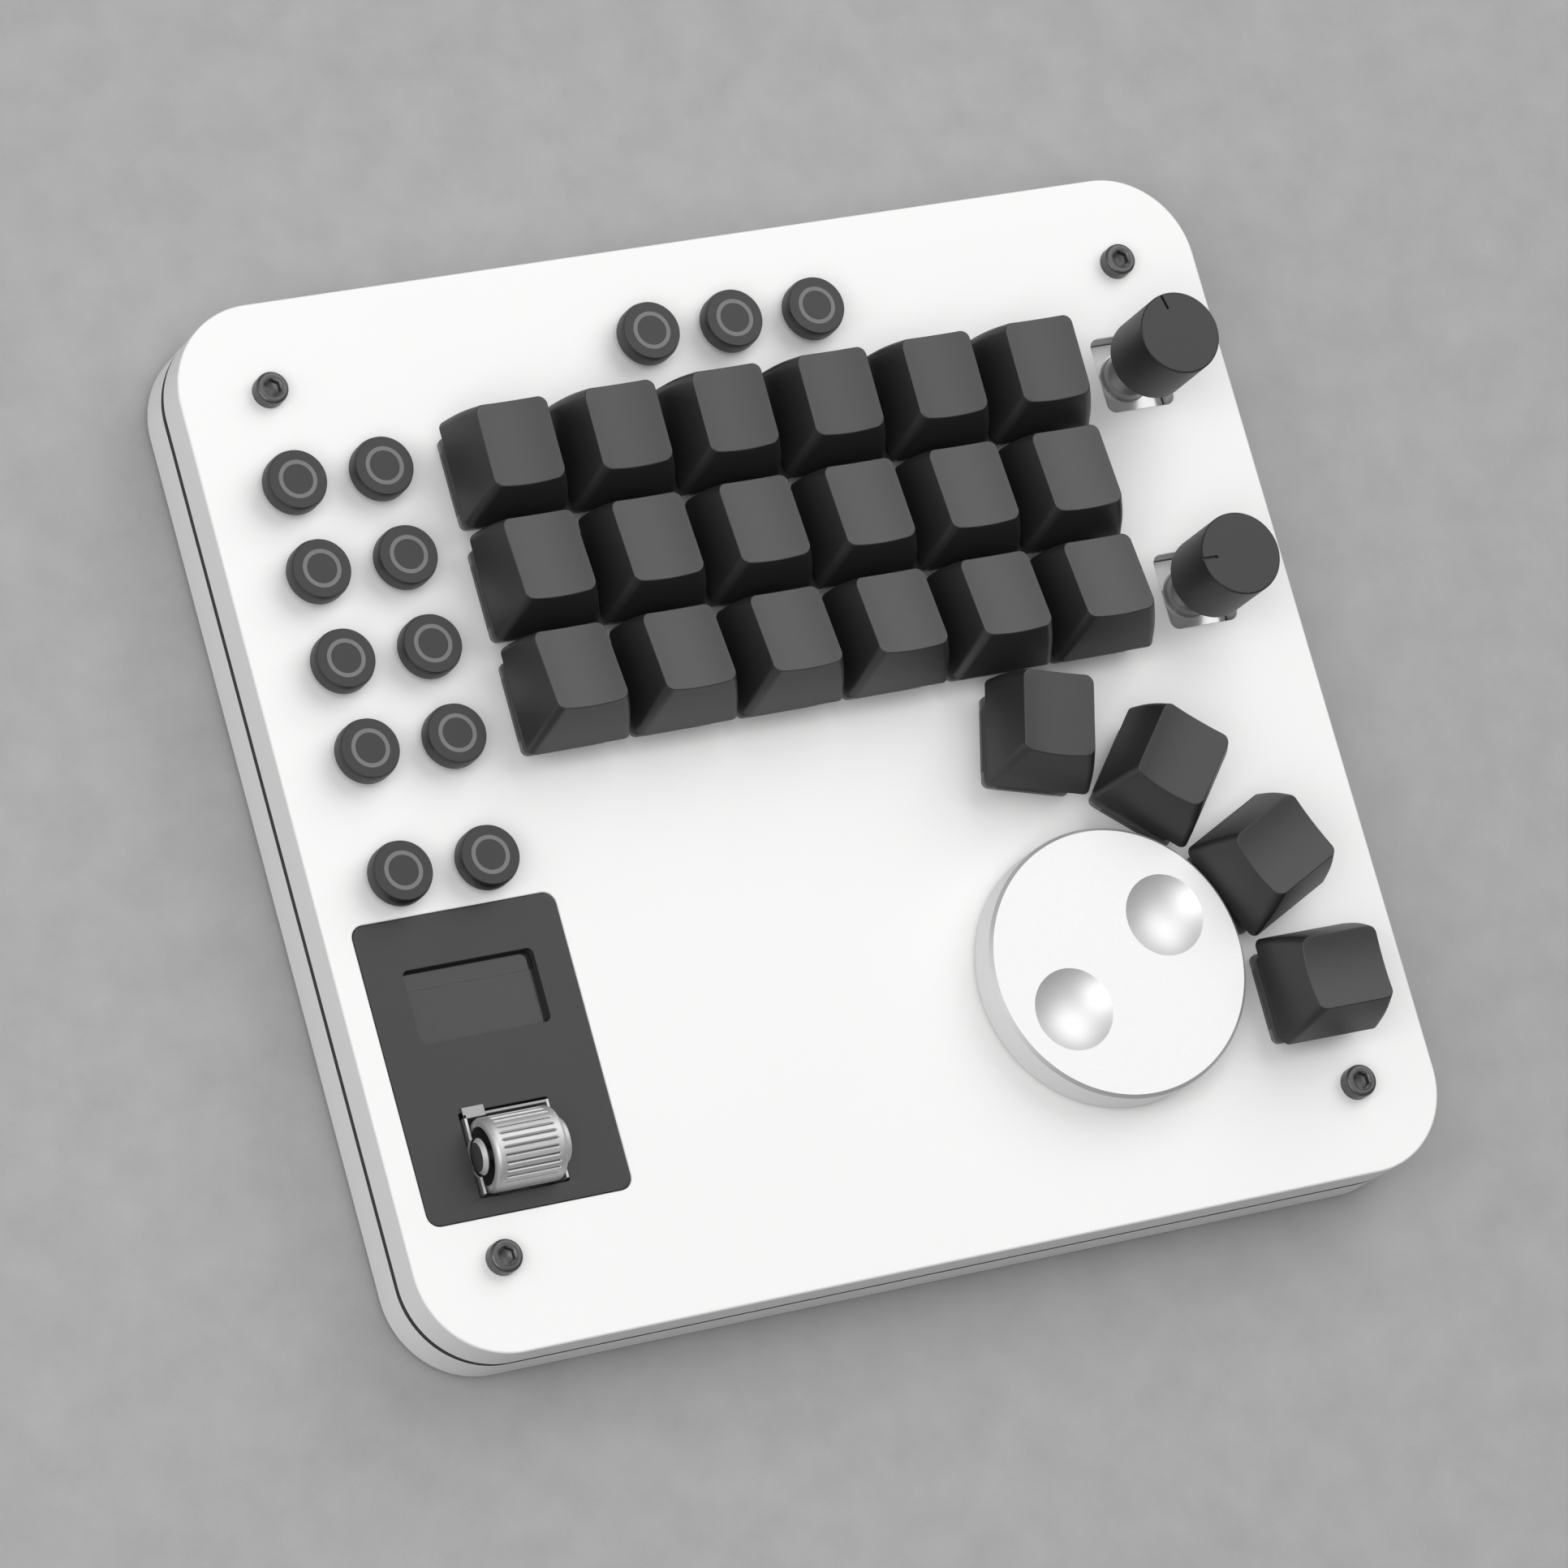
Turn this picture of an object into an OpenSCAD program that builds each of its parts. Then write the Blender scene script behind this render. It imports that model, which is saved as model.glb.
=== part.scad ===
// Video editing keyboard: a low two-shell desk controller with sculpted keys, push buttons,
// a jog wheel, two knobs, a display and a grooved roller.
// The origin is the centre of the footprint on the desk; +X right, +Y back, +Z up.

/* [Case] */
// Width of the case
case_w = 184; // [180:1:204]
// Depth of the case
case_d = 174; // [172:1:196]
// Corner radius of the case in plan
corner_r = 15; // [10:0.5:20]
// Height of the top shell
top_shell_h = 7.5; // [7:0.5:10]
// Height of the dark seam between the shells
seam_h = 1.5; // [1:0.25:3]
// Set-back of the seam from the outer walls
seam_inset = 0.8; // [0.4:0.1:1.5]
// Height of the bottom shell
bottom_shell_h = 7.5; // [7:0.5:12]
// Thickness of the side walls
wall_t = 3; // [2:0.25:4]
// Thickness of the top plate
plate_t = 2; // [1.7:0.1:2.4]
// Thickness of the floor
floor_t = 2; // [1.5:0.25:2.5]
// Chamfer along the outer edges
edge_chamfer = 0.4; // [0.2:0.1:1]

/* [Screws, inserts and feet] */
// Distance of each screw from both case edges
screw_inset = 15; // [12:0.5:16.5]
// Diameter of the screw shank
screw_d = 3; // [2.5:0.5:4]
// Length of the screw inside its threaded insert
screw_grip = 3; // [2:0.25:4.5]
// Diameter of the socket head
screw_head_d = 5.5; // [5:0.25:7]
// Height of the socket head
screw_head_h = 3; // [2.5:0.25:4]
// Width of the hexagon socket across its flats
hex_af = 2.5; // [2:0.25:3]
// Diameter of the screw bosses
boss_d = 9; // [8:0.5:11]
// Outer diameter of the threaded inserts
insert_d = 4.6; // [4.4:0.1:6]
// Length of the threaded inserts
insert_len = 5; // [3.25:0.25:5]
// Diameter of the rubber feet
foot_d = 12; // [8:0.5:16]
// Height of the rubber feet
foot_h = 1.5; // [1:0.25:4]
// Distance of each foot from both case edges
foot_inset = 18; // [15:0.5:30]

/* [Key switches] */
// Distance between neighbouring keys
key_pitch = 19.05; // [18.5:0.05:19.8]
// Side of the square switch hole in the plate
switch_hole = 14; // [13.8:0.05:14.4]
// Side of the switch flange that rests on the plate
flange_w = 15.6; // [15:0.1:16.2]
// Thickness of the switch flange
flange_t = 1; // [0.6:0.1:1.4]
// Height of the switch housing above the plate
switch_h = 6.6; // [6.2:0.1:6.9]
// Depth of the circuit board's face under the plate's face
pcb_drop = 5; // [4.8:0.1:5.6]
// Travel of a key
key_travel = 4; // [2:0.1:4]
// Diameter of the switch's centre post
post_d = 4; // [3.5:0.1:4.5]
// Length of the centre post under the housing
post_len = 3.2; // [2:0.1:3.3]
// Width and depth of the sliding stem
slider_size = [7, 5.8]; // [5.7:0.1:7.2]
// Span of the stem's cross
cross_w = 4; // [3.8:0.05:4.2]
// Thickness of the cross's bars
cross_t = 1.2; // [1:0.05:1.4]
// Height of the cross above the housing
cross_h = 3.6; // [3:0.1:3.8]

/* [Key caps] */
// Gap between neighbouring caps
cap_gap = 0.95; // [0.6:0.05:1.5]
// Height of a cap's lower rim above the plate
cap_lift = 5.8; // [5.2:0.1:6.4]
// Wall thickness of a cap
cap_wall = 1.3; // [1:0.05:1.4]
// Thickness of a cap's top under the dish
cap_top_t = 1.5; // [1:0.1:1.7]
// Corner radius at a cap's rim
cap_rim_r = 1.5; // [1:0.1:2.5]
// Corner radius at a cap's top
cap_top_r = 1.8; // [1:0.1:3]
// Depth of the dish across a cap's top
dish_depth = 0.7; // [0.3:0.05:0.9]
// Inset of both sides from rim to top
side_inset = 2.9; // [2:0.05:3]
// Inset of the front face from rim to top, for the back, middle and front rows
front_inset = [3.95, 4.05, 4.45]; // [3:0.05:4.5]
// Inset of the back face from rim to top, for the three rows
back_inset = [0.65, 0.4, 0.35]; // [0.2:0.05:2]
// Height of a cap's top front edge above the plate, for the three rows
front_h = [15.1, 15.2, 15.9]; // [14.5:0.1:17]
// Height of a cap's top back edge above the plate, for the three rows
back_h = [15.3, 13.6, 13.5]; // [13.4:0.1:17]
// Outward bow of a cap's faces halfway up
cap_bow = 0.25; // [0:0.05:0.4]
// Diameter of the boss under a cap's top
cap_boss_d = 5.5; // [5.1:0.1:5.7]

/* [Key layout] */
// Distance of the grid from the second button column
grid_left = 9.85; // [7:0.05:12]
// Distance of the knob axes from the grid
grid_right = 13.25; // [11:0.05:16]
// Distance of the front row from the case's back edge
grid_front = 73.05; // [71:0.05:76]
// Distance of the fan's centre to the left of the wheel's axis
fan_left = 15.8; // [12:0.1:17]
// Distance of the fan's centre in front of the wheel's axis
fan_front = 9.1; // [4:0.1:11]
// Direction of the first fanned key, seen from the fan's centre
fan_start = 74.5; // [70:0.5:78]
// Angle between fanned keys
fan_step = 25; // [24:0.5:26]
// Least gap of a fanned cap from the wheel and from the grid
fan_gap = 0.4; // [0.3:0.05:1]
// Distance of the last fanned cap from the case's right edge
fan_margin = 10.9; // [6:0.1:12]

/* [Push buttons] */
// Distance between neighbouring buttons
button_pitch = 15; // [12.5:0.1:16]
// Distance of the first column from the case's left edge
button_left = 14; // [12:0.5:16]
// Distance of the first row from the case's back edge
button_back = 31.25; // [28:0.25:35]
// Distance of the lowest pair from the panel
button_low_gap = 6.5; // [6.1:0.1:10]
// Distance of the back three from the case's back edge
button_top_back = 15.8; // [12:0.1:18]
// Middle of the back three, from the case's centre line
button_top_x = 3.7; // [-10:0.1:10]
// Diameter of a button cap
button_d = 10.2; // [9:0.1:11.5]
// Inset of a button cap's flat top
button_taper = 0.3; // [0.1:0.05:0.6]
// Height of a button cap
button_cap_h = 2.9; // [2.5:0.1:5]
// Height of the cap's shoulder
button_shoulder = 1; // [0.5:0.1:1.2]
// Gap between a button cap and the plate
button_lift = 2.1; // [1:0.1:3]
// Travel of a button
button_travel = 0.4; // [0.2:0.05:0.45]
// Side of the square button switch
tact_w = 10; // [8:0.5:11]
// Diameter of a button plunger
plunger_d = 5; // [3:0.1:6]
// Diameter of the plate holes over the button switches
button_hole_d = 7.4; // [6.6:0.1:9]

/* [Jog wheel] */
// Diameter of the wheel
jog_d = 45.3; // [40:0.1:48]
// Height of the wheel
jog_h = 6.5; // [5.5:0.1:9]
// Gap between the wheel and the plate
jog_lift = 0.8; // [0.4:0.1:2]
// Chamfer of the wheel's edges
jog_chamfer = 0.55; // [0.2:0.05:1]
// Diameter of a finger dimple
dimple_d = 13.7; // [8:0.1:15]
// Depth of a finger dimple
dimple_depth = 2.2; // [1:0.1:2.5]
// Distance of the dimples from the wheel's axis
dimple_r = 12; // [11:0.1:14]
// Direction of the first dimple
dimple_angle = 31; // [0:1:179]
// Diameter of the spindle
spindle_d = 6; // [4:0.5:6.5]
// Diameter of the bearing bush in the plate
bush_d = 9; // [8:0.5:11]
// Side of the bearing and sensor block under the plate
jog_block_w = 24; // [20:0.5:28]
// Height of the bearing and sensor block
jog_block_h = 5.5; // [5:0.1:7]
// Width of the bush nut across its flats
nut_af = 13; // [12:0.5:14]
// Height of the bush nut
nut_h = 1.6; // [1:0.1:1.8]

/* [Knobs and encoders] */
// Diameter of a knob
knob_d = 13.9; // [12:0.1:16]
// Height of a knob
knob_h = 12.7; // [12.5:0.1:16]
// Gap under each knob above the plate, back and front
knob_lift = [6.7, 5.4]; // [4.6:0.1:7]
// Edge rounding of a knob
knob_edge = 0.3; // [0.1:0.05:1]
// Width of a knob's indicator notch
notch_w = 0.5; // [0.3:0.05:1.5]
// Distance of the knob axes from the case's right edge
knob_right = 17.6; // [16:0.1:20]
// Distance of the back knob from the case's back edge
knob_back = 33.95; // [33:0.05:36]
// Distance between the knob axes
knob_spacing = 38.2; // [34:0.1:42]
// Direction of each indicator notch, back and front
notch_angle = [103, 179]; // [0:1:359]
// Width and depth of the cut-out over an encoder
encoder_hole = [12.5, 12.9]; // [12.3:0.1:14]
// Corner radius of that cut-out
encoder_hole_r = 1.5; // [0.5:0.1:2.5]
// Side of the square encoder body
encoder_w = 12; // [11:0.1:12.2]
// Height of the encoder body
encoder_h = 6.5; // [6:0.1:8]
// Depth of the encoder body's top under the plate's face
encoder_drop = 3.5; // [2.6:0.1:4.5]
// Diameter of the encoder bush
encoder_bush_d = 7; // [6.6:0.1:7.4]
// Height of the bush above the encoder body
encoder_bush_h = 7; // [5:0.1:7.4]
// Diameter of the encoder shaft
shaft_d = 6; // [5.6:0.1:6.2]
// Depth of the flat on the shaft
shaft_flat = 1.5; // [1:0.1:2]
// Reach of the shaft above the encoder body
shaft_reach = 20; // [18:0.5:20.5]
// Travel of a knob when it is pressed
push_travel = 0.5; // [0.2:0.05:0.6]

/* [Panel and display] */
// Width of the panel
panel_w = 35; // [33:0.25:40]
// Depth of the panel
panel_d = 49; // [47:0.25:53]
// Thickness of the panel
panel_t = 1.6; // [1.2:0.1:1.6]
// Corner radius of the panel
panel_r = 2; // [1:0.25:4]
// Depth of the panel's face under the plate's face
panel_sink = 0.1; // [0.05:0.05:0.3]
// Distance of the panel from the case's left edge
panel_left = 4.8; // [4.5:0.1:7]
// Distance of the panel from the case's front edge
panel_front = 22; // [21:0.25:26]
// Width of the ledge under the panel's rim
ledge_w = 2; // [1:0.25:2.5]
// Thickness of that ledge
ledge_t = 1.5; // [0.8:0.1:1.6]
// Width of the display window
window_w = 22.5; // [18:0.1:25]
// Depth of the display window
window_d = 12.1; // [9:0.1:17]
// Offset of the window's middle from the panel's
window_x = 0.3; // [-2:0.1:2]
// Distance of the window's middle from the panel's back edge
window_back = 14.35; // [12:0.05:16]
// Width of the display glass
glass_w = 26.7; // [26:0.1:28]
// Depth of the display glass
glass_d = 19.3; // [18:0.1:20]
// Thickness of the display glass
glass_t = 1.5; // [1:0.1:1.6]
// Side of the display's own board
display_board_w = 27.3; // [26:0.1:28]
// Thickness of the display's own board
display_board_t = 1.2; // [0.8:0.1:1.4]
// Distance of that board's middle in front of the glass's
board_fore = 3; // [1:0.1:3.3]
// Least gap between that board and the roller's bracket
board_gap = 1.5; // [0.3:0.1:1.5]

/* [Roller] */
// Diameter of the roller
roller_d = 12; // [10:0.1:12.4]
// Length of the roller
roller_len = 12.3; // [11:0.1:12.6]
// Gap between the roller and the axle's right disc
roller_gap = 0.5; // [0.3:0.05:0.7]
// Height of the roller's axis above the plate
roller_z = 1.2; // [0.8:0.1:3]
// Distance of the roller's axis in front of its opening's middle
roller_fore = 0.55; // [0:0.05:0.7]
// Width of the opening for the roller
roller_hole_w = 15.4; // [15:0.1:16.2]
// Depth of the opening for the roller
roller_hole_d = 13.6; // [13.2:0.1:14.2]
// Offset of that opening's middle from the panel's
roller_x = -0.3; // [-2:0.1:2]
// Distance of that opening's middle from the panel's front edge
roller_front = 9.8; // [9.5:0.05:12]
// Number of grooves along the roller
groove_count = 30; // [20:1:40]
// Width of a groove
groove_w = 0.35; // [0.2:0.05:0.6]
// Depth of a groove
groove_depth = 0.25; // [0.1:0.05:0.4]
// Length of a groove
groove_len = 9.2; // [7:0.1:10]
// Rounding of the roller's shoulders
roller_edge = 0.8; // [0.3:0.05:0.9]
// Wall round the cup in the roller's left end
cup_wall = 1; // [0.9:0.05:1.5]
// Depth of that cup
cup_depth = 3.2; // [1:0.1:5]
// Diameter of the roller's axle
axle_d = 2; // [1.5:0.1:3]
// Diameters of the axle's end discs, left and right
disc_d = [5.9, 7.6]; // [4:0.1:8]
// Thicknesses of those discs
disc_t = [0.8, 0.95]; // [0.5:0.05:1]
// Bevel of the left disc's outer face
disc_bevel = 0.45; // [0.1:0.05:0.45]
// Width of the bracket across its arms
bracket_w = 14.65; // [14.2:0.05:14.8]
// Gap between the bracket's right arm and the opening
bracket_gap = 0.15; // [0.1:0.05:0.2]
// Thickness of the bracket's sheet
sheet_t = 0.45; // [0.3:0.05:0.5]
// Height of the bracket's arms above the plate
arm_top = 0.3; // [0.2:0.05:1]
// Length of the bracket's back tab
tab_len = 3.3; // [2:0.1:4]
// Travel of the roller when it is pressed
roller_travel = 0.5; // [0.2:0.05:0.6]

/* [Boards and inlet] */
// Thickness of the main circuit board
pcb_t = 1.6; // [1:0.1:1.6]
// Gap between the main board and the walls
pcb_gap = 0.6; // [0.3:0.1:1.5]
// Thickness of the small boards
small_board_t = 1.2; // [0.8:0.1:1.6]
// Width of an encoder's board
encoder_board_w = 14; // [13:0.5:16]
// Depth of an encoder's board
encoder_board_d = 25; // [24:0.5:27]
// Width of the controller board
controller_w = 24; // [22:0.5:30]
// Depth of the controller board
controller_d = 50; // [40:1:60]
// Height of the posts under the controller board
controller_post_h = 1.5; // [1.4:0.1:2.8]
// Diameter of the board posts
board_post_d = 5; // [4:0.25:5.5]
// Diameter of the pegs that hold a small board
peg_d = 2; // [1.2:0.1:2.5]
// Width of the inlet's shell
inlet_w = 8.94; // [8.9:0.02:9]
// Height of the inlet's shell
inlet_h = 3.26; // [3.2:0.02:3.3]
// Length of the inlet's shell
inlet_len = 7.3; // [6:0.1:9]

/* [Clearances] */
// Gap round a piece that slides
slide_gap = 0.1; // [0.05:0.01:0.2]
// Gap round a shaft that turns
turn_gap = 0.05; // [0.02:0.01:0.1]
// Gap round a piece that is pressed or screwed in
seat_gap = 0.03; // [0.02:0.01:0.05]
// Gap round a piece that drops into a recess
drop_gap = 0.15; // [0.05:0.05:0.3]

/* [Hidden] */
$fn = 48;
over = 0.5;
grid_rows = 3;
grid_cols = 6;
fan_keys = 4;

floor_z = foot_h;
floor_top_z = floor_z + floor_t;
seam_z = floor_z + bottom_shell_h;
shell_z = seam_z + seam_h;
plate_z = shell_z + top_shell_h;
ceiling_z = plate_z - plate_t;
pcb_top_z = plate_z - pcb_drop;
pcb_z = pcb_top_z - pcb_t;
screw_len = top_shell_h + seam_h + screw_grip;

cap_w = key_pitch - cap_gap;
grid_y = case_d / 2 - grid_front;
fan_angles = [for (i = [0:fan_keys - 1]) fan_start - fan_step * i];

// Across the plate stand two button columns, the key grid and the knobs, with four distances between
// them and the case's edges. Each distance holds a solid part and free room, and the free rooms share
// what the case's width leaves.
row_solid = [wall_t + pcb_gap + tact_w / 2, button_d / 2, knob_d / 2, wall_t + pcb_gap + encoder_board_w / 2];
row_free = [button_left, grid_left, grid_right, knob_right] - row_solid;
row_room = case_w - button_pitch - grid_cols * key_pitch - row_solid * [1, 1, 1, 1];
row_gaps = row_solid + row_free * (row_room / (row_free * [1, 1, 1, 1]));
button_x = row_gaps[0] - case_w / 2;
grid_x = button_x + button_pitch + row_gaps[1] + grid_cols * key_pitch / 2;
knob_x = case_w / 2 - row_gaps[3];

fan_r = cap_w / 2 + max(
    jog_d / 2 + fan_gap + max([for (a = fan_angles) fan_left * cos(a) + fan_front * sin(a)]),
    cap_w / 2 / tan(fan_step / 2));
fan_reach = cap_w / 2 * (cos(90 - fan_start) + sin(90 - fan_start));
fan_x = case_w / 2 - fan_margin - cap_w / 2 - fan_r;
fan_y = grid_y - cap_w / 2 - fan_gap - fan_reach - fan_r * sin(fan_start);
jog_x = fan_x + fan_left;
jog_y = fan_y + fan_front;

// Each key is [x, y, turn, row profile].
grid_places = [for (r = [0:grid_rows - 1], c = [0:grid_cols - 1])
    [grid_x + (c - (grid_cols - 1) / 2) * key_pitch, grid_y + (grid_rows - 1 - r) * key_pitch, 0, r]];
fan_places = [for (a = fan_angles) [fan_x + fan_r * cos(a), fan_y + fan_r * sin(a), a - 90, 0]];
key_places = concat(grid_places, fan_places);

panel_x = panel_left + panel_w / 2 - case_w / 2;
panel_y = panel_front + panel_d / 2 - case_d / 2;
button_y = case_d / 2 - button_back;
button_places = concat(
    [for (r = [0:3], c = [0, 1]) [button_x + c * button_pitch, button_y - r * button_pitch]],
    [for (c = [0, 1]) [button_x + c * button_pitch, panel_y + panel_d / 2 + button_low_gap]],
    [for (c = [-1:1]) [button_top_x + c * button_pitch, case_d / 2 - button_top_back]]);
knob_places = [for (i = [0, 1]) [knob_x, case_d / 2 - knob_back - i * knob_spacing]];

corner_steps = 4;
dish_land = 0.08;
cap_levels = 3;
edge_steps = 3;
housing_top = [10.2, 9.2];
housing_floor = 0.8;
body_w = switch_hole - 2 * seat_gap;
slider_z = housing_floor + key_travel + 2 * slide_gap - pcb_drop;

tact_h = pcb_drop - plate_t - slide_gap;
tact_floor = 0.3;
plunger_z = tact_floor + button_travel + slide_gap - pcb_drop;
button_wall = 0.9;
hub_d = plunger_d + 0.8;
tip_d = plunger_d - 1.3;
tip_h = button_cap_h / 2;

nut_room = nut_h + 0.6;
spindle_top = jog_lift + jog_h - 1.5;
encoder_z = plate_z - encoder_drop;
encoder_floor = 0.8;
collar_d = 8.4;
collar_h = 1.2;
rotor_d = encoder_w - 2.4;
rotor_h = 3.6;

pad_margin = 0.8;
window_y = panel_d / 2 - window_back;
bracket_x = panel_x + roller_x + (roller_hole_w - bracket_w) / 2 - bracket_gap;
hole_y = panel_y - panel_d / 2 + roller_front;
axle_y = hole_y - roller_fore;
axle_z = plate_z + roller_z;
arm_x = bracket_w / 2;
arm_y = [hole_y - roller_hole_d / 2 + 0.5, hole_y + roller_hole_d / 2 - 0.2];
display_board_y = max(-board_fore, arm_y[1] + board_gap + display_board_w / 2 - panel_y - window_y);

inlet_set = 0.3;
encoder_post_y = (encoder_board_d - board_post_d) / 2;
controller_z = floor_top_z + controller_post_h;
controller_y = case_d / 2 - wall_t - 0.4 - controller_d / 2;
controller_posts = [for (sx = [-1, 1], sy = [-1, 1])
    [sx * (controller_w - board_post_d) / 2, controller_y + sy * (controller_d - board_post_d) / 2]];
inlet_z = controller_z + small_board_t / 2;

KEY_NAMES = concat(
    [for (r = [1:grid_rows], c = [1:grid_cols]) str("key_r", r, "c", c)],
    [for (i = [1:fan_keys]) str("key_fan_", i)]);
BUTTON_NAMES = [for (i = [1:len(button_places)]) str("button_", i)];

// Placing

module at_plate() translate([0, 0, plate_z]) children();

module at_corners(inset)
    for (sx = [-1, 1], sy = [-1, 1])
        translate([sx * (case_w / 2 - inset), sy * (case_d / 2 - inset)]) children();

module at_key(k) translate([k[0], k[1]]) rotate(k[2]) children();

module at_each(places) for (p = places) translate(p) children();

// A cut that starts above the plate's face and ends at the given depth
module cut(depth) translate([0, 0, -depth]) linear_extrude(depth + over) children();

// Shared shapes

module plan(w, d, r) {
    square([w - 2 * r, d], center = true);
    square([w, d - 2 * r], center = true);
    for (sx = [-1, 1], sy = [-1, 1]) translate([sx * (w / 2 - r), sy * (d / 2 - r)]) circle(r);
}

// A layer of the case's plan, drawn in from its walls
module case_plan(inset) plan(case_w - 2 * inset, case_d - 2 * inset, corner_r - inset);

module bevel_bar(length, width, c)
    rotate([90, 0, 90]) linear_extrude(length, center = true)
        polygon([[-width / 2, 0], [width / 2, 0], [width / 2 - c, c], [c - width / 2, c]]);

// A shell's outer block, with its upper edge chamfered
module case_block(h) {
    c = edge_chamfer;
    linear_extrude(h - c) case_plan(0);
    translate([0, 0, h - c]) {
        bevel_bar(case_w - 2 * corner_r, case_d, c);
        rotate(90) bevel_bar(case_d - 2 * corner_r, case_w, c);
        at_corners(corner_r) cylinder(h = c, r1 = corner_r, r2 = corner_r - c);
    }
}

// A block whose top is narrower than its base
module tapered_block(base, top, h) {
    b = base / 2;
    t = top / 2;
    polyhedron(
        [[-b[0], -b[1], 0], [b[0], -b[1], 0], [b[0], b[1], 0], [-b[0], b[1], 0],
         [-t[0], -t[1], h], [t[0], -t[1], h], [t[0], t[1], h], [-t[0], t[1], h]],
        [[0, 1, 2, 3], [4, 7, 6, 5], [0, 4, 5, 1], [1, 5, 6, 2], [2, 6, 7, 3], [3, 7, 4, 0]]);
}

function quarter_arc(centre, r, from) =
    [for (i = [0:edge_steps]) let (a = from + 90 * i / edge_steps) centre + r * [cos(a), sin(a)]];

// A rod with one flat along it
module d_rod(d, flat, h) difference() {
    cylinder(d = d, h = h);
    translate([d / 2 - flat, -d / 2, -over]) cube([d, d, h + 2 * over]);
}

// Case

module top_case() color("white") at_plate() difference() {
    union() {
        difference() {
            translate([0, 0, -top_shell_h]) case_block(top_shell_h);
            translate([0, 0, -top_shell_h - over])
                linear_extrude(top_shell_h - plate_t + over) case_plan(wall_t);
        }
        translate([0, 0, -top_shell_h - seam_h]) at_corners(screw_inset)
            cylinder(d = boss_d, h = top_shell_h + seam_h - plate_t / 2);
        translate([panel_x, panel_y, -panel_sink - panel_t - ledge_t])
            linear_extrude(panel_sink + panel_t + ledge_t - plate_t / 2)
                plan(panel_w + 2 * pad_margin, panel_d + 2 * pad_margin, panel_r + pad_margin);
        at_each(knob_places) encoder_posts();
    }
    at_corners(screw_inset) cut(top_shell_h + seam_h + over) circle(d = screw_d + 4 * slide_gap);
    translate([panel_x, panel_y]) {
        cut(panel_sink + panel_t)
            plan(panel_w + 2 * drop_gap, panel_d + 2 * drop_gap, panel_r + drop_gap);
        cut(panel_sink + panel_t + ledge_t + over)
            square([panel_w - 2 * ledge_w, panel_d - 2 * ledge_w], center = true);
    }
    for (k = key_places) at_key(k) cut(plate_t + over) square(switch_hole, center = true);
    at_each(button_places) cut(plate_t + over) circle(d = button_hole_d);
    at_each(knob_places) cut(plate_t + over) plan(encoder_hole[0], encoder_hole[1], encoder_hole_r);
    translate([jog_x, jog_y]) cut(plate_t + over) circle(d = bush_d + 2 * drop_gap);
}

// Posts under the plate, each with a peg through the encoder's board
module encoder_posts() for (s = [-1, 1]) translate([0, s * encoder_post_y, -encoder_drop - encoder_h]) {
    cylinder(d = board_post_d, h = encoder_drop + encoder_h - plate_t / 2);
    translate([0, 0, -small_board_t]) cylinder(d = peg_d, h = small_board_t + over);
}

module bottom_case() color("white") difference() {
    union() {
        difference() {
            translate([0, 0, seam_z]) mirror([0, 0, 1]) case_block(bottom_shell_h);
            translate([0, 0, floor_top_z]) linear_extrude(bottom_shell_h) case_plan(wall_t);
        }
        translate([0, 0, floor_top_z - over]) at_corners(screw_inset)
            cylinder(d = boss_d, h = seam_z - floor_top_z + over);
        translate([0, 0, floor_top_z - over]) at_each(controller_posts) {
            cylinder(d = board_post_d, h = controller_post_h + over);
            cylinder(d = peg_d, h = controller_post_h + small_board_t + over);
        }
    }
    translate([0, 0, seam_z - insert_len]) at_corners(screw_inset)
        cylinder(d = insert_d + 2 * seat_gap, h = insert_len + over);
    translate([0, case_d / 2 + over, inlet_z]) rotate([90, 0, 0])
        linear_extrude(wall_t + 2 * over) stadium(inlet_w + 2 * drop_gap, inlet_h + 2 * drop_gap);
}

module seam_gasket() color("dimgray") translate([0, 0, seam_z]) linear_extrude(seam_h) difference() {
    case_plan(seam_inset);
    case_plan(wall_t);
}

module case_screws() color("black") at_plate() at_corners(screw_inset) difference() {
    union() {
        translate([0, 0, -screw_len]) cylinder(d = screw_d, h = screw_len + over);
        cylinder(d = screw_head_d, h = screw_head_h - 0.3);
        translate([0, 0, screw_head_h - 0.3])
            cylinder(d1 = screw_head_d, d2 = screw_head_d - 0.6, h = 0.3);
    }
    translate([0, 0, screw_head_h / 2]) cylinder(d = hex_af / cos(30), h = screw_head_h, $fn = 6);
}

module threaded_inserts() color("goldenrod") translate([0, 0, seam_z - insert_len])
    at_corners(screw_inset) linear_extrude(insert_len) difference() {
        circle(d = insert_d);
        circle(d = screw_d + 2 * seat_gap);
    }

module rubber_feet() color("dimgray") at_corners(foot_inset) {
    cylinder(d1 = foot_d - 0.6, d2 = foot_d, h = 0.3);
    translate([0, 0, 0.3]) cylinder(d = foot_d, h = foot_h - 0.3);
}

// Boards

module main_pcb() color("darkgreen") translate([0, 0, pcb_z]) linear_extrude(pcb_t) difference() {
    case_plan(wall_t + pcb_gap);
    at_corners(screw_inset) circle(d = boss_d + 2 * pcb_gap);
    for (k = key_places) at_key(k) circle(d = post_d + 2 * slide_gap);
    at_each(knob_places)
        square([encoder_board_w + 2 * pcb_gap, encoder_board_d + 2 * pcb_gap], center = true);
    translate([jog_x, jog_y]) square(jog_block_w + 2 * pcb_gap, center = true);
    translate([bracket_x, axle_y]) square([bracket_w - 2 * sheet_t - 0.5, roller_d], center = true);
}

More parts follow.
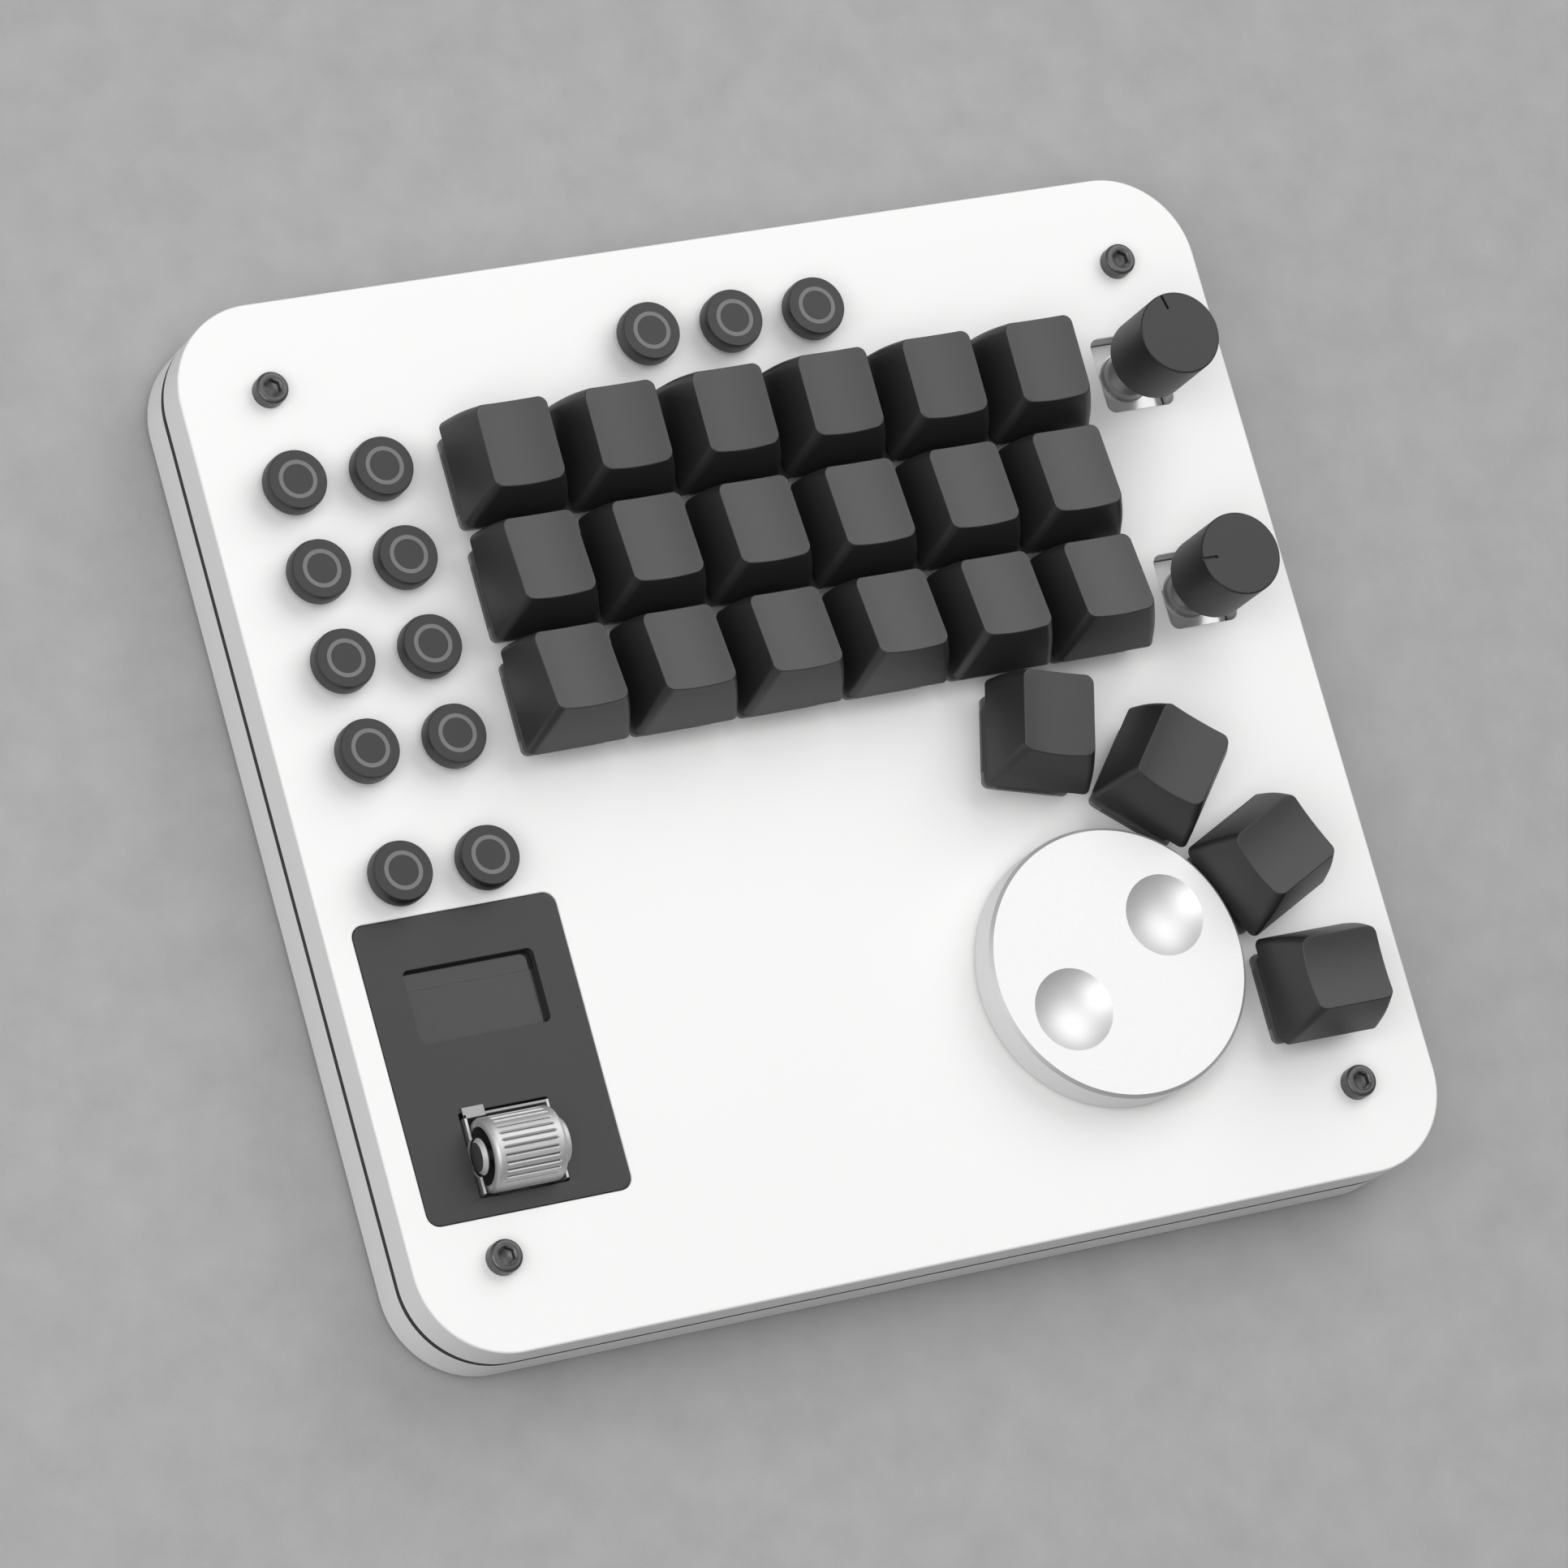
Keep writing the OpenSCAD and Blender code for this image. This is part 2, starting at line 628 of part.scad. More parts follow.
module encoder_boards() color("darkgreen") at_each(knob_places)
    translate([0, 0, encoder_z - encoder_h - small_board_t]) linear_extrude(small_board_t) difference() {
        plan(encoder_board_w, encoder_board_d, 1);
        for (s = [-1, 1]) translate([0, s * encoder_post_y]) circle(d = peg_d + 2 * seat_gap);
    }

module controller_board() color("darkgreen") translate([0, 0, controller_z]) {
    linear_extrude(small_board_t) difference() {
        translate([0, controller_y]) plan(controller_w, controller_d, 1);
        at_each(controller_posts) circle(d = peg_d + 2 * seat_gap);
        translate([0, case_d / 2 - inlet_set]) square([inlet_w + 2 * slide_gap, 2 * inlet_len + 0.4],
            center = true);
    }
    translate([-5, controller_y - 5, small_board_t - 0.1]) cube([10, 10, 1]);
    translate([-7, controller_y - controller_d / 2 + 2, small_board_t - 0.1])
        cube([14, 2.5, pcb_z - controller_z - small_board_t + 0.1]);
}

module stadium(w, h) {
    square([w - h, h], center = true);
    for (s = [-1, 1]) translate([s * (w - h) / 2, 0]) circle(d = h);
}

module usb_socket() color("silver") translate([0, case_d / 2 - inlet_set, inlet_z]) {
    rotate([90, 0, 0]) {
        linear_extrude(inlet_len) difference() {
            stadium(inlet_w, inlet_h);
            stadium(inlet_w - 0.6, inlet_h - 0.6);
        }
        translate([0, 0, inlet_len - 1]) linear_extrude(1) stadium(inlet_w - 0.5, inlet_h - 0.5);
        translate([-3.35, -0.35, 0.8]) cube([6.7, 0.7, inlet_len - 1]);
    }
    for (s = [-1, 1]) translate([s * inlet_w / 2 - 0.6, 1.5 - inlet_len, small_board_t / 2])
        cube([1.2, 2, 0.3]);
}

// Switches under the keys and buttons

module switch_housings() color("black") at_plate() for (k = key_places) at_key(k) difference() {
    union() {
        translate([-body_w / 2, -body_w / 2, -pcb_drop]) cube([body_w, body_w, pcb_drop + flange_t / 2]);
        translate([-flange_w / 2, -flange_w / 2, 0]) cube([flange_w, flange_w, flange_t]);
        translate([0, 0, flange_t / 2])
            tapered_block([body_w, body_w], housing_top, switch_h - flange_t / 2);
        translate([0, 0, -pcb_drop - post_len]) cylinder(d = post_d, h = post_len + housing_floor / 2);
    }
    translate([0, 0, housing_floor - pcb_drop]) linear_extrude(pcb_drop + switch_h)
        square(slider_size + [2, 2] * slide_gap, center = true);
}

module button_switches() color("black") at_plate() at_each(button_places)
    translate([0, 0, -pcb_drop]) difference() {
        translate([-tact_w / 2, -tact_w / 2, 0]) cube([tact_w, tact_w, tact_h]);
        translate([0, 0, tact_floor]) cylinder(d = plunger_d + 2 * slide_gap, h = tact_h);
    }

// Keys

function between(a, b, t) = a + (b - a) * t;

// The points of a rounded rectangle seen from above; its height runs straight from front to back.
// box is [left, right, front, back], h is [front, back].
function cap_ring(box, r, h) =
    [for (q = [0:3], i = [0:corner_steps]) let (
        a = 90 * q + 90 * i / corner_steps,
        x = (q == 0 || q == 3 ? box[1] - r : box[0] + r) + r * cos(a),
        y = (q < 2 ? box[3] - r : box[2] + r) + r * sin(a))
    [x, y, between(h[0], h[1], (y - box[2]) / (box[3] - box[2]))]];

function cap_rim(inset) = [-1, 1, -1, 1] * (cap_w / 2 - inset);

function cap_top(row, inset) = [
    side_inset + inset - cap_w / 2,
    cap_w / 2 - side_inset - inset,
    front_inset[row] + inset - cap_w / 2,
    cap_w / 2 - back_inset[row] - inset];

// A closed skin through rings that have equal numbers of points
module loft(rings) {
    n = len(rings[0]);
    last = (len(rings) - 1) * n;
    polyhedron(
        [for (ring = rings) each ring],
        concat(
            [[for (i = [0:n - 1]) i]],
            [for (k = [0:n:last - n], i = [0:n - 1]) let (a = k + i, b = k + (i + 1) % n)
                each [[a, a + n, b], [b, a + n, b + n]]],
            [[for (i = [n - 1:-1:0]) last + i]]));
}

module cap_outside(row) {
    tops = [front_h[row], back_h[row]];
    loft([for (i = [0:cap_levels]) let (t = i / cap_levels, bow = cap_bow * sin(180 * t))
        cap_ring(
            between(cap_rim(0), cap_top(row, 0), t) + [-1, 1, -1, 1] * bow,
            between(cap_rim_r, cap_top_r, t),
            between([1, 1] * cap_lift, tops, t))]);
}

module cap_inside(row) {
    tops = [front_h[row], back_h[row]] - [1, 1] * (dish_depth + cap_top_t);
    loft([
        cap_ring(cap_rim(cap_wall), cap_rim_r / 2, [1, 1] * (cap_lift - 0.01)),
        cap_ring(cap_top(row, cap_wall), cap_top_r / 2, tops)]);
}

// The cylinder that leaves the dish; it runs out just inside both side edges of the cap's top.
module cap_dish(row) {
    half = cap_w / 2 - side_inset - dish_land;
    r = (half * half + dish_depth * dish_depth) / (2 * dish_depth);
    box = cap_top(row, 0);
    slope = atan((back_h[row] - front_h[row]) / (box[3] - box[2]));
    translate([0, box[2], front_h[row]]) rotate([slope, 0, 0])
        translate([0, -3, r - dish_depth]) rotate([-90, 0, 0]) cylinder(r = r, h = cap_w, $fn = 180);
}

module stem_cross(w, t, h) for (a = [0, 90]) rotate(a)
    translate([-w / 2, -t / 2, 0]) cube([w, t, h]);

module key_cap(row) difference() {
    union() {
        difference() {
            cap_outside(row);
            cap_inside(row);
        }
        translate([0, 0, switch_h + slide_gap])
            cylinder(d = cap_boss_d, h = min(front_h[row], back_h[row]) - switch_h);
    }
    cap_dish(row);
    translate([0, 0, switch_h - over])
        stem_cross(cross_w + 2 * seat_gap, cross_t + 2 * seat_gap, cross_h + over + slide_gap);
}

module key_slider() {
    translate([0, 0, slider_z]) linear_extrude(switch_h - slider_z) square(slider_size, center = true);
    translate([0, 0, switch_h - over]) stem_cross(cross_w, cross_t, cross_h + over);
}

module key(k) at_plate() at_key(k) {
    color([0.17, 0.17, 0.18]) key_cap(k[3]);
    color("dimgray") key_slider();
}

// Push buttons

module button_cap() difference() {
    rotate_extrude() polygon([
        [0, 0],
        [button_d / 2, 0],
        [button_d / 2, button_cap_h - button_shoulder],
        [button_d / 2 - button_taper, button_cap_h - 0.2],
        [button_d / 2 - button_taper - 0.2, button_cap_h],
        [0, button_cap_h]]);
    translate([0, 0, -over]) {
        linear_extrude(button_cap_h - button_shoulder + over) difference() {
            circle(d = button_d - 2 * button_wall);
            circle(d = hub_d);
        }
        cylinder(d = tip_d + 2 * seat_gap, h = tip_h + over + slide_gap);
    }
}

module button_plunger() {
    translate([0, 0, plunger_z]) cylinder(d = plunger_d, h = button_lift - plunger_z);
    translate([0, 0, button_lift - over]) cylinder(d = tip_d, h = tip_h + over);
}

module button(place) at_plate() translate(place) {
    color([0.2, 0.2, 0.21]) translate([0, 0, button_lift]) button_cap();
    color("dimgray") button_plunger();
}

// Jog wheel

module jog_wheel() color("gainsboro") at_plate() translate([jog_x, jog_y, jog_lift]) difference() {
    rotate_extrude($fn = 120) polygon([
        [0, 0],
        [jog_d / 2 - jog_chamfer / 2, 0],
        [jog_d / 2, jog_chamfer / 2],
        [jog_d / 2, jog_h - jog_chamfer],
        [jog_d / 2 - jog_chamfer, jog_h],
        [0, jog_h]]);
    translate([0, 0, -over]) cylinder(d = nut_af / cos(30) + 2, h = nut_room - jog_lift + over);
    translate([0, 0, -over]) cylinder(d = spindle_d + 2 * seat_gap, h = spindle_top - jog_lift + over + 0.1);
    for (a = [dimple_angle, dimple_angle + 180]) rotate(a) translate([dimple_r, 0, jog_h]) dimple();
}

module dimple() {
    half = dimple_d / 2;
    r = (half * half + dimple_depth * dimple_depth) / (2 * dimple_depth);
    translate([0, 0, r - dimple_depth]) sphere(r, $fn = 90);
}

module jog_spindle() color("silver") translate([jog_x, jog_y, ceiling_z - jog_block_h + 1]) {
    cylinder(d = spindle_d, h = plate_z + spindle_top - ceiling_z + jog_block_h - 1);
    translate([0, 0, 1]) cylinder(d = jog_block_w - 6, h = 1);
}

module jog_bearing() color("dimgray") translate([jog_x, jog_y, ceiling_z]) {
    difference() {
        union() {
            translate([0, 0, -jog_block_h]) linear_extrude(jog_block_h) plan(jog_block_w, jog_block_w, 2);
            translate([0, 0, -over]) cylinder(d = bush_d, h = plate_t + nut_h + 0.2 + over);
        }
        translate([0, 0, 0.9 - jog_block_h]) cylinder(d = spindle_d + 2 * turn_gap, h = 3 * jog_block_h);
        translate([0, 0, 1.8 - jog_block_h]) cylinder(d = jog_block_w - 5, h = 1.4);
    }
    translate([0, 0, plate_t]) difference() {
        cylinder(d = nut_af / cos(30), h = nut_h, $fn = 6);
        translate([0, 0, -over]) cylinder(d = bush_d + 2 * seat_gap, h = nut_h + 2 * over);
    }
}

// Knobs

module encoder_bodies() color("silver") at_each(knob_places) translate([0, 0, encoder_z]) difference() {
    union() {
        translate([-encoder_w / 2, -encoder_w / 2, -encoder_h]) cube([encoder_w, encoder_w, encoder_h]);
        translate([0, 0, -over]) cylinder(d = collar_d, h = collar_h + over);
        translate([0, 0, -over]) cylinder(d = encoder_bush_d, h = encoder_bush_h + over);
    }
    translate([0, 0, encoder_floor - encoder_h])
        cylinder(d = shaft_d + 2 * turn_gap, h = encoder_h + encoder_bush_h);
    translate([0, 0, encoder_floor + 0.4 - encoder_h]) cylinder(d = rotor_d + 0.4, h = rotor_h + 0.4);
}

module encoder_rotor(i) color("dimgray")
    translate(concat(knob_places[i], encoder_z - encoder_h + encoder_floor + 0.6))
    rotate(notch_angle[i]) difference() {
        cylinder(d = rotor_d, h = rotor_h);
        translate([0, 0, -over]) d_rod(shaft_d + 2 * turn_gap, shaft_flat, rotor_h + 2 * over);
    }

module knob(i) translate(concat(knob_places[i], plate_z)) rotate(notch_angle[i]) {
    color([0.15, 0.15, 0.16]) translate([0, 0, knob_lift[i]]) difference() {
        rotate_extrude($fn = 96) polygon(concat(
            [[0, 0], [knob_d / 2, 0]],
            quarter_arc([knob_d / 2 - knob_edge, knob_h - knob_edge], knob_edge, 0),
            [[0, knob_h]]));
        translate([0, 0, -over]) d_rod(shaft_d + 2 * seat_gap, shaft_flat,
            over + shaft_reach - encoder_drop - knob_lift[i] + 0.2);
        translate([knob_d * 0.31, -notch_w / 2, knob_h - notch_w]) cube([knob_d, notch_w, notch_w + over]);
    }
    color("silver") translate([0, 0, -encoder_drop - encoder_h + encoder_floor + push_travel + slide_gap])
        d_rod(shaft_d, shaft_flat, encoder_h - encoder_floor - push_travel - slide_gap + shaft_reach);
}

// Panel and display

module display_bezel() color([0.16, 0.16, 0.17])
    translate([panel_x, panel_y, plate_z - panel_sink - panel_t]) linear_extrude(panel_t) difference() {
        plan(panel_w, panel_d, panel_r);
        translate([window_x, window_y]) plan(window_w, window_d, 1);
        translate([roller_x, roller_front - panel_d / 2]) plan(roller_hole_w, roller_hole_d, 0.4);
    }

module display_module()
    translate([panel_x + window_x, panel_y + window_y, plate_z - panel_sink - panel_t - glass_t]) {
        color("darkslategray") linear_extrude(glass_t) square([glass_w, glass_d], center = true);
        color("darkgreen") translate([0, display_board_y, -display_board_t])
            linear_extrude(display_board_t) square(display_board_w, center = true);
    }

// Roller

// Turns a shape built up along +Z to lie along +X on the roller's axis
module on_axle(x) translate([bracket_x + x, axle_y, axle_z]) rotate([0, 90, 0]) children();

module roller() color("silver") on_axle(arm_x - disc_t[1] - roller_gap - roller_len) difference() {
    r = roller_d / 2;
    rotate_extrude($fn = 96) polygon(concat(
        [[0, 0]],
        quarter_arc([r - roller_edge, roller_edge], roller_edge, -90),
        quarter_arc([r - roller_edge, roller_len - roller_edge], roller_edge, 0),
        [[0, roller_len]]));
    translate([0, 0, -over]) cylinder(r = r - cup_wall, h = cup_depth + over);
    translate([0, 0, -over]) cylinder(d = axle_d + 2 * turn_gap, h = roller_len + 2 * over);
    for (i = [0:groove_count - 1]) rotate(360 * i / groove_count)
        translate([r - groove_depth, -groove_w / 2, (roller_len - groove_len) / 2])
            cube([1, groove_w, groove_len]);
}

module roller_carrier() color("silver") {
    on_axle(-arm_x) {
        cylinder(d1 = disc_d[0] - 2 * disc_bevel, d2 = disc_d[0], h = disc_bevel);
        translate([0, 0, disc_bevel]) cylinder(d = disc_d[0], h = disc_t[0] - disc_bevel);
    }
    on_axle(-arm_x) cylinder(d = axle_d, h = 2 * arm_x);
    on_axle(arm_x - disc_t[1]) cylinder(d = disc_d[1], h = disc_t[1]);
}

// One side sheet of the bracket, notched for the disc that slides down in it
module arm(d) rotate([90, 0, 90]) linear_extrude(sheet_t) difference() {
    notch = d / 2 + slide_gap;
    translate([arm_y[0], pcb_top_z]) square([arm_y[1] - arm_y[0], plate_z + arm_top - pcb_top_z]);
    translate([axle_y, axle_z - roller_travel]) circle(notch);
    translate([axle_y - notch, axle_z - roller_travel]) square([2 * notch, roller_d]);
}

module roller_bracket() color("silver") {
    translate([bracket_x - arm_x, 0]) arm(disc_d[0]);
    translate([bracket_x + arm_x - sheet_t, 0]) arm(disc_d[1]);
    translate([bracket_x - arm_x, arm_y[1] - sheet_t, pcb_top_z])
        cube([2 * arm_x, sheet_t, plate_z + arm_top - 0.1 - pcb_top_z]);
    translate([bracket_x - arm_x, arm_y[1] - 0.65, plate_z]) cube([tab_len + sheet_t, 1.8, arm_top]);
}

// Drawing

top_case();
bottom_case();
seam_gasket();
case_screws();
threaded_inserts();
rubber_feet();
main_pcb();
switch_housings();
button_switches();
encoder_bodies();
encoder_boards();
jog_bearing();
controller_board();
usb_socket();
display_bezel();
display_module();
roller_bracket();
for (i = [0:len(key_places) - 1])
    key(key_places[i]);
for (i = [0:len(button_places) - 1])
    button(button_places[i]);
encoder_rotor(0);  // encoder_rotor_1
encoder_rotor(1);  // encoder_rotor_2
knob(0);  // knob_1
knob(1);  // knob_2
jog_wheel();
jog_spindle();
roller();
roller_carrier();
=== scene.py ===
import math

import bmesh
import bpy
from mathutils import Matrix, Vector
from mathutils.geometry import delaunay_2d_cdt


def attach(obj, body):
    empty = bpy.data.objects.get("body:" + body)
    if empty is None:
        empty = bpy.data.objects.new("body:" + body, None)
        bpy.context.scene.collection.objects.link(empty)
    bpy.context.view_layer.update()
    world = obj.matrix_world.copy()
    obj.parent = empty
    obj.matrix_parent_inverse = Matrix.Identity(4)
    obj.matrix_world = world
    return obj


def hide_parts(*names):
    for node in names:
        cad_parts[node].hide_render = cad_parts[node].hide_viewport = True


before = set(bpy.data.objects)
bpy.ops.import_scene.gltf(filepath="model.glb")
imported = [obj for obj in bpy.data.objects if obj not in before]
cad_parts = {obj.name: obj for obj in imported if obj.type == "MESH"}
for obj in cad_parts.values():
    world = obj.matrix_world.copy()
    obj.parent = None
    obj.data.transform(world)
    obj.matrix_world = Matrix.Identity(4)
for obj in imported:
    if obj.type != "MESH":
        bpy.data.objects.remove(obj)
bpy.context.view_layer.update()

MM = 0.001
TAU = 2 * math.pi
CREASE = math.radians(32)        # a steeper angle between two faces is shaded as an edge
BEVEL_ANGLE = math.radians(40)   # and one steeper than this is bevelled, on a piece that has a bevel

# Sizes in millimetres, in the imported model's frame. Most are the values of the part's source. A few depart
# from it slightly, where the photograph shows more than the solids hold.

CASE_W, CASE_D, CORNER_R, EDGE, WALL = 184, 174, 15, 0.4, 3
SEAM_Z, SHELL_Z, CEILING_Z, PLATE_Z = 9.0, 10.5, 16.0, 18.0
LIP, SHELL_CHAMFER, STRIP_INSET, MIN_R = 0.12, 0.05, 0.06, 0.02

SCREW_INSET, SCREW_D, SCREW_LEN, SCREW_TIP, BOSS_D, HOLE_D = 15, 3, 13.5, 0.3, 9, 3.4
HEAD_D, HEAD_H, HEAD_LOW, HEX_AF = 5.45, 2.6, 0.1, 2.5
HEAD_EDGE = ((0, 0.55), (0.07, 0.28), (0.22, 0.1), (0.45, 0.02), (0.6, 0))    # in and down from the edge
SOCKET_RIM = ((0.62, 0), (0.56, 0.07), (0.48, 0.07), (0.36, 0.02))            # out from the flats, and down
SOCKET_Z, DRILL_INSET, DRILL_Z = (0.16, 1.25), 0.12, (1.3, 1.95)              # Z counts down from the top

PITCH, CAP_W, CAP_LIFT, CAP_WALL, CAP_TOP_T = 19.05, 18.1, 5.8, 1.3, 1.5
RIM_R, TOP_R, DISH, DISH_LAND, BOW, CAP_EDGE, RIM_EDGE = 1.3, 1.5, 0.7, 0.08, 0.25, 0.16, 0.15
SIDE_INSET, FRONT_INSET, BACK_INSET = 2.9, (3.7, 3.78, 4.25), (0.85, 0.4, 0.35)
FRONT_H, BACK_H = (15.1, 15.2, 15.9), (15.3, 13.6, 13.5)
SIDE_STEPS, SIDE_SHARE, EDGE_STEPS, DISH_STEPS, SLOPE_STEP = 6, 0.98, 4, 7, 0.3
STEM_D, STEM_GAP, STEM_SHORT, SLIDER_W, SLIDER_D, SLIDER_EDGE = 5.5, 0.1, 0.7, 7, 5.8, 0.1

SWITCH_HOLE, SWITCH_HOLE_R, SWITCH_W, SWITCH_R, SWITCH_EDGE, SWITCH_H = 14, 0.2, 13.94, 0.3, 0.1, 6.6
FLANGE_W, FLANGE_D, FLANGE_R, FLANGE_T, FLANGE_EDGE = 15.2, 15.56, 1.1, 1, 0.15
BAR_W, BAR_END, BAR_PROUD, BAR_EDGE = 0.25, 2.45, 0.02, 0.1
HOUSING = ((SWITCH_W, SWITCH_W, 0.6, 0.8), (13.4, 13.2, 0.8, 2.6), (10.4, 9.4, 0.8, 6.4),
           (10.0, 9.0, 0.6, SWITCH_H))        # width, depth, corner radius and height above the plate
PCB_DROP, POST_D, POST_LEN, POST_EDGE, POST_ROOT = 5, 4, 3.2, 0.3, 0.4

JOG_D, JOG_H, JOG_LIFT, JOG_CHAMFER, JOG_LOW_EDGE = 45.3, 6.5, 0.8, 0.55, 0.3
JOG_BORE_D, JOG_BORE_H, JOG_HOLE_D = 17, 1.4, 9.3
DIMPLE_D, DIMPLE_DEPTH, DIMPLE_R, DIMPLE_ANGLE, DIMPLE_STEPS = 13.7, 2.2, 12, 31, 14

BUTTON_D, BUTTON_TAPER, BUTTON_H, BUTTON_SHOULDER, BUTTON_LIFT = 10.2, 0.22, 2.9, 1, 2.1
BUTTON_WALL, BUTTON_RIM, BUTTON_POST_D, BUTTON_HOLE = 0.9, 0.1, 5.8, 7.4
BUTTON_EDGE = ((0, 0.13), (0.03, 0.06), (0.08, 0.02), (0.15, 0))              # in and down from the edge
PLUNGER_D, PLUNGER_LOW, PLUNGER_EDGE = 5, -4.2, 0.2
TIP_D, TIP_H, TIP_HOLE_D, TIP_HOLE_H, TIP_HOLE_LOW = 3.7, 1.2, 3.6, 1.3, 0.2
RING_IN, RING_OUT, FACE_R = 2.52, 3.2, 1.0

KNOB_D, KNOB_H, KNOB_LIFT, KNOB_EDGE, KNOB_LOW_EDGE, KNOB_BASE = 14.1, 12.7, (6.7, 5.4), 0.3, 0.25, 1.2
NOTCH_W, NOTCH_ANGLE, NOTCH_START, NOTCH_OVER = 0.5, (103, 179), 0.31, 1      # start: share of the diameter
ENCODER_HOLE, ENCODER_HOLE_WALL, ENCODER_HOLE_LOW = (12.5, 12.9, 1.5), 1.2, 14.1
ENCODER_W, ENCODER_D, ENCODER_BACK, ENCODER_H, ENCODER_Z, ENCODER_EDGE = 11.4, 12, 0.25, 6.5, 14.5, 0.12
COVER_INSET, COVER_Y, COVER_R, COVER_FILLET, COVER_Z = 0.05, 1.2, 4.35, 0.5, (-0.05, 0.15)
COLLAR_D, COLLAR_H, COLLAR_EDGE, COLLAR_ROOT, BUSH_D, BUSH_H, BUSH_ROOT = 8.4, 1.2, 0.15, -0.3, 7, 7, 0.2
THREAD_PITCH, THREAD_DEPTH, THREAD_RISE, THREAD_CREST, THREAD_FALL = 0.75, 0.3, 0.25, 0.3, 0.5
THREAD_START, THREAD_END, BUSH_EDGE, BUSH_TOP_INSET, BUSH_HOLE_H = 0.3, 0.6, 0.3, 0.5, 0.5
SHAFT_D, SHAFT_FLAT, SHAFT_REACH, SHAFT_ROOT, SHAFT_GAP = 6, 1.5, 20, 1.4, 0.02

PANEL_W, PANEL_D, PANEL_R, PANEL_T, PANEL_SINK, PANEL_GAP = 35, 49, 2, 1.6, 0.1, 0.15
PANEL_X, PANEL_Y = -69.7, -40.5
PANEL_EDGE = ((0.15, 0), (0.04, 0.04), (0, 0.15))                             # in and down from the edge
LEDGE_W, LEDGE_T, LEDGE_R, PAD_W = 2, 1.5, 0.1, 0.8
WINDOW, WINDOW_SHIFT, WINDOW_DROP = (22.5, 12.1, 1), 0.3, 14.35
WINDOW_X, WINDOW_Y = PANEL_X + WINDOW_SHIFT, PANEL_Y + PANEL_D / 2 - WINDOW_DROP
GLASS, GLASS_T, GLASS_EDGE = (26.7, 19.3, 0.2), 1.5, 0.1
FILM_SHEET, FILM_X, FILM_Y, FILM_Z, FILM_EDGE = (24.0, 12.6, 0.2), 0.8, -3.3, (0.22, 0.04), 0.03
CARRIER, CARRIER_Y, CARRIER_T = (27.3, 27.3, 0.6), -3, 1.2                    # the board behind the glass

ROLLER_D, ROLLER_LEN, ROLLER_EDGE = 12, 12.3, 0.8
ROLLER_X, BRACKET_X, AXLE_Y, AXLE_Z = -70.05, -69.775, -55.75, 19.2
ROLLER_HOLE, ROLLER_HOLE_X, ROLLER_HOLE_Y = (15.4, 13.85, 0.4), -70, -55.08
GROOVES, GROOVE_TURN, GROOVE_W, GROOVE_DEPTH, GROOVE_LEN = 30, 4, 0.35, 0.25, 9.2    # turn in degrees
GROOVE_SIDE, GROOVE_SOFT, GROOVE_FLOOR = 0.09, 0.06, 0.6                      # floor as a share of the depth
GROOVE_END_STEPS = (-0.2, 0, 0.08, 0.2, 0.5)                                  # rings about a groove's end
CUP_WALL, CUP_DEPTH, CUP_EDGE, AXLE_D, AXLE_GAP = 1.35, 3.2, (0.1, 0.12), 2, 0.05
ARM_X, ARM_Y, ARM_TOP, ARM_GAP, SHEET, SHEET_EDGE = 7.325, (-61.5, -48.6), 0.3, 0.1, 0.45, 0.06
BACK_BAR_DROP, TAB_LEN, TAB_Y = 0.1, 3.3, (-0.65, 1.15)
DISC_D, DISC_T, DISC_BEVEL, DISC_EDGE, DISC_END = (5.9, 7.6), (0.8, 0.95), 0.6, 0.1, 0.2
ROLLER_TRAVEL = 0.5

# Places of the controls: x and y, and for a key its turn in degrees and the number of its cap's profile
GRID_X, GRID_Y = 4, 13.95
GRID = [(GRID_X + (c - 2.5) * PITCH, GRID_Y + (2 - r) * PITCH, 0, r) for r in range(3) for c in range(6)]
FAN_X, FAN_Y, FAN_R = 21.799, -55.063, 50.251
FAN = [(FAN_X + FAN_R * math.cos(math.radians(a)), FAN_Y + FAN_R * math.sin(math.radians(a)), a - 90, 0)
       for a in (74.5, 49.5, 24.5, -0.5)]
KEYS = dict(zip([f"key_r{r}c{c}" for r in (1, 2, 3) for c in range(1, 7)]
                + [f"key_fan_{i}" for i in (1, 2, 3, 4)], GRID + FAN))
JOG_OFFSET = (15.8, 9.1)         # from the middle of the fan
JOG = (FAN_X + JOG_OFFSET[0], FAN_Y + JOG_OFFSET[1])
BUTTON_X, BUTTON_Y, BUTTON_PITCH, LOW_BUTTON_Y, BACK_BUTTON_X, BACK_BUTTON_Y = -78, 55.75, 15, -9.5, 3.7, 71.2
BUTTONS = ([(BUTTON_X + BUTTON_PITCH * c, BUTTON_Y - BUTTON_PITCH * r) for r in range(4) for c in (0, 1)]
           + [(BUTTON_X + BUTTON_PITCH * c, LOW_BUTTON_Y) for c in (0, 1)]
           + [(BACK_BUTTON_X + BUTTON_PITCH * c, BACK_BUTTON_Y) for c in (-1, 0, 1)])
KNOBS = [(74.4, 53.05), (74.4, 14.85)]
SCREWS = [(sx * (CASE_W / 2 - SCREW_INSET), sy * (CASE_D / 2 - SCREW_INSET))
          for sx in (-1, 1) for sy in (-1, 1)]


# Outlines: lists of points in one plane, always counted the same way round

def arc(cx, cy, r, start, sweep, n):
    return [(cx + r * math.cos(math.radians(start + sweep * i / n)),
             cy + r * math.sin(math.radians(start + sweep * i / n))) for i in range(n + 1)]


def circle(r, n, at=(0, 0), turn=0):
    return arc(at[0], at[1], r, turn, 360, n)[:-1]


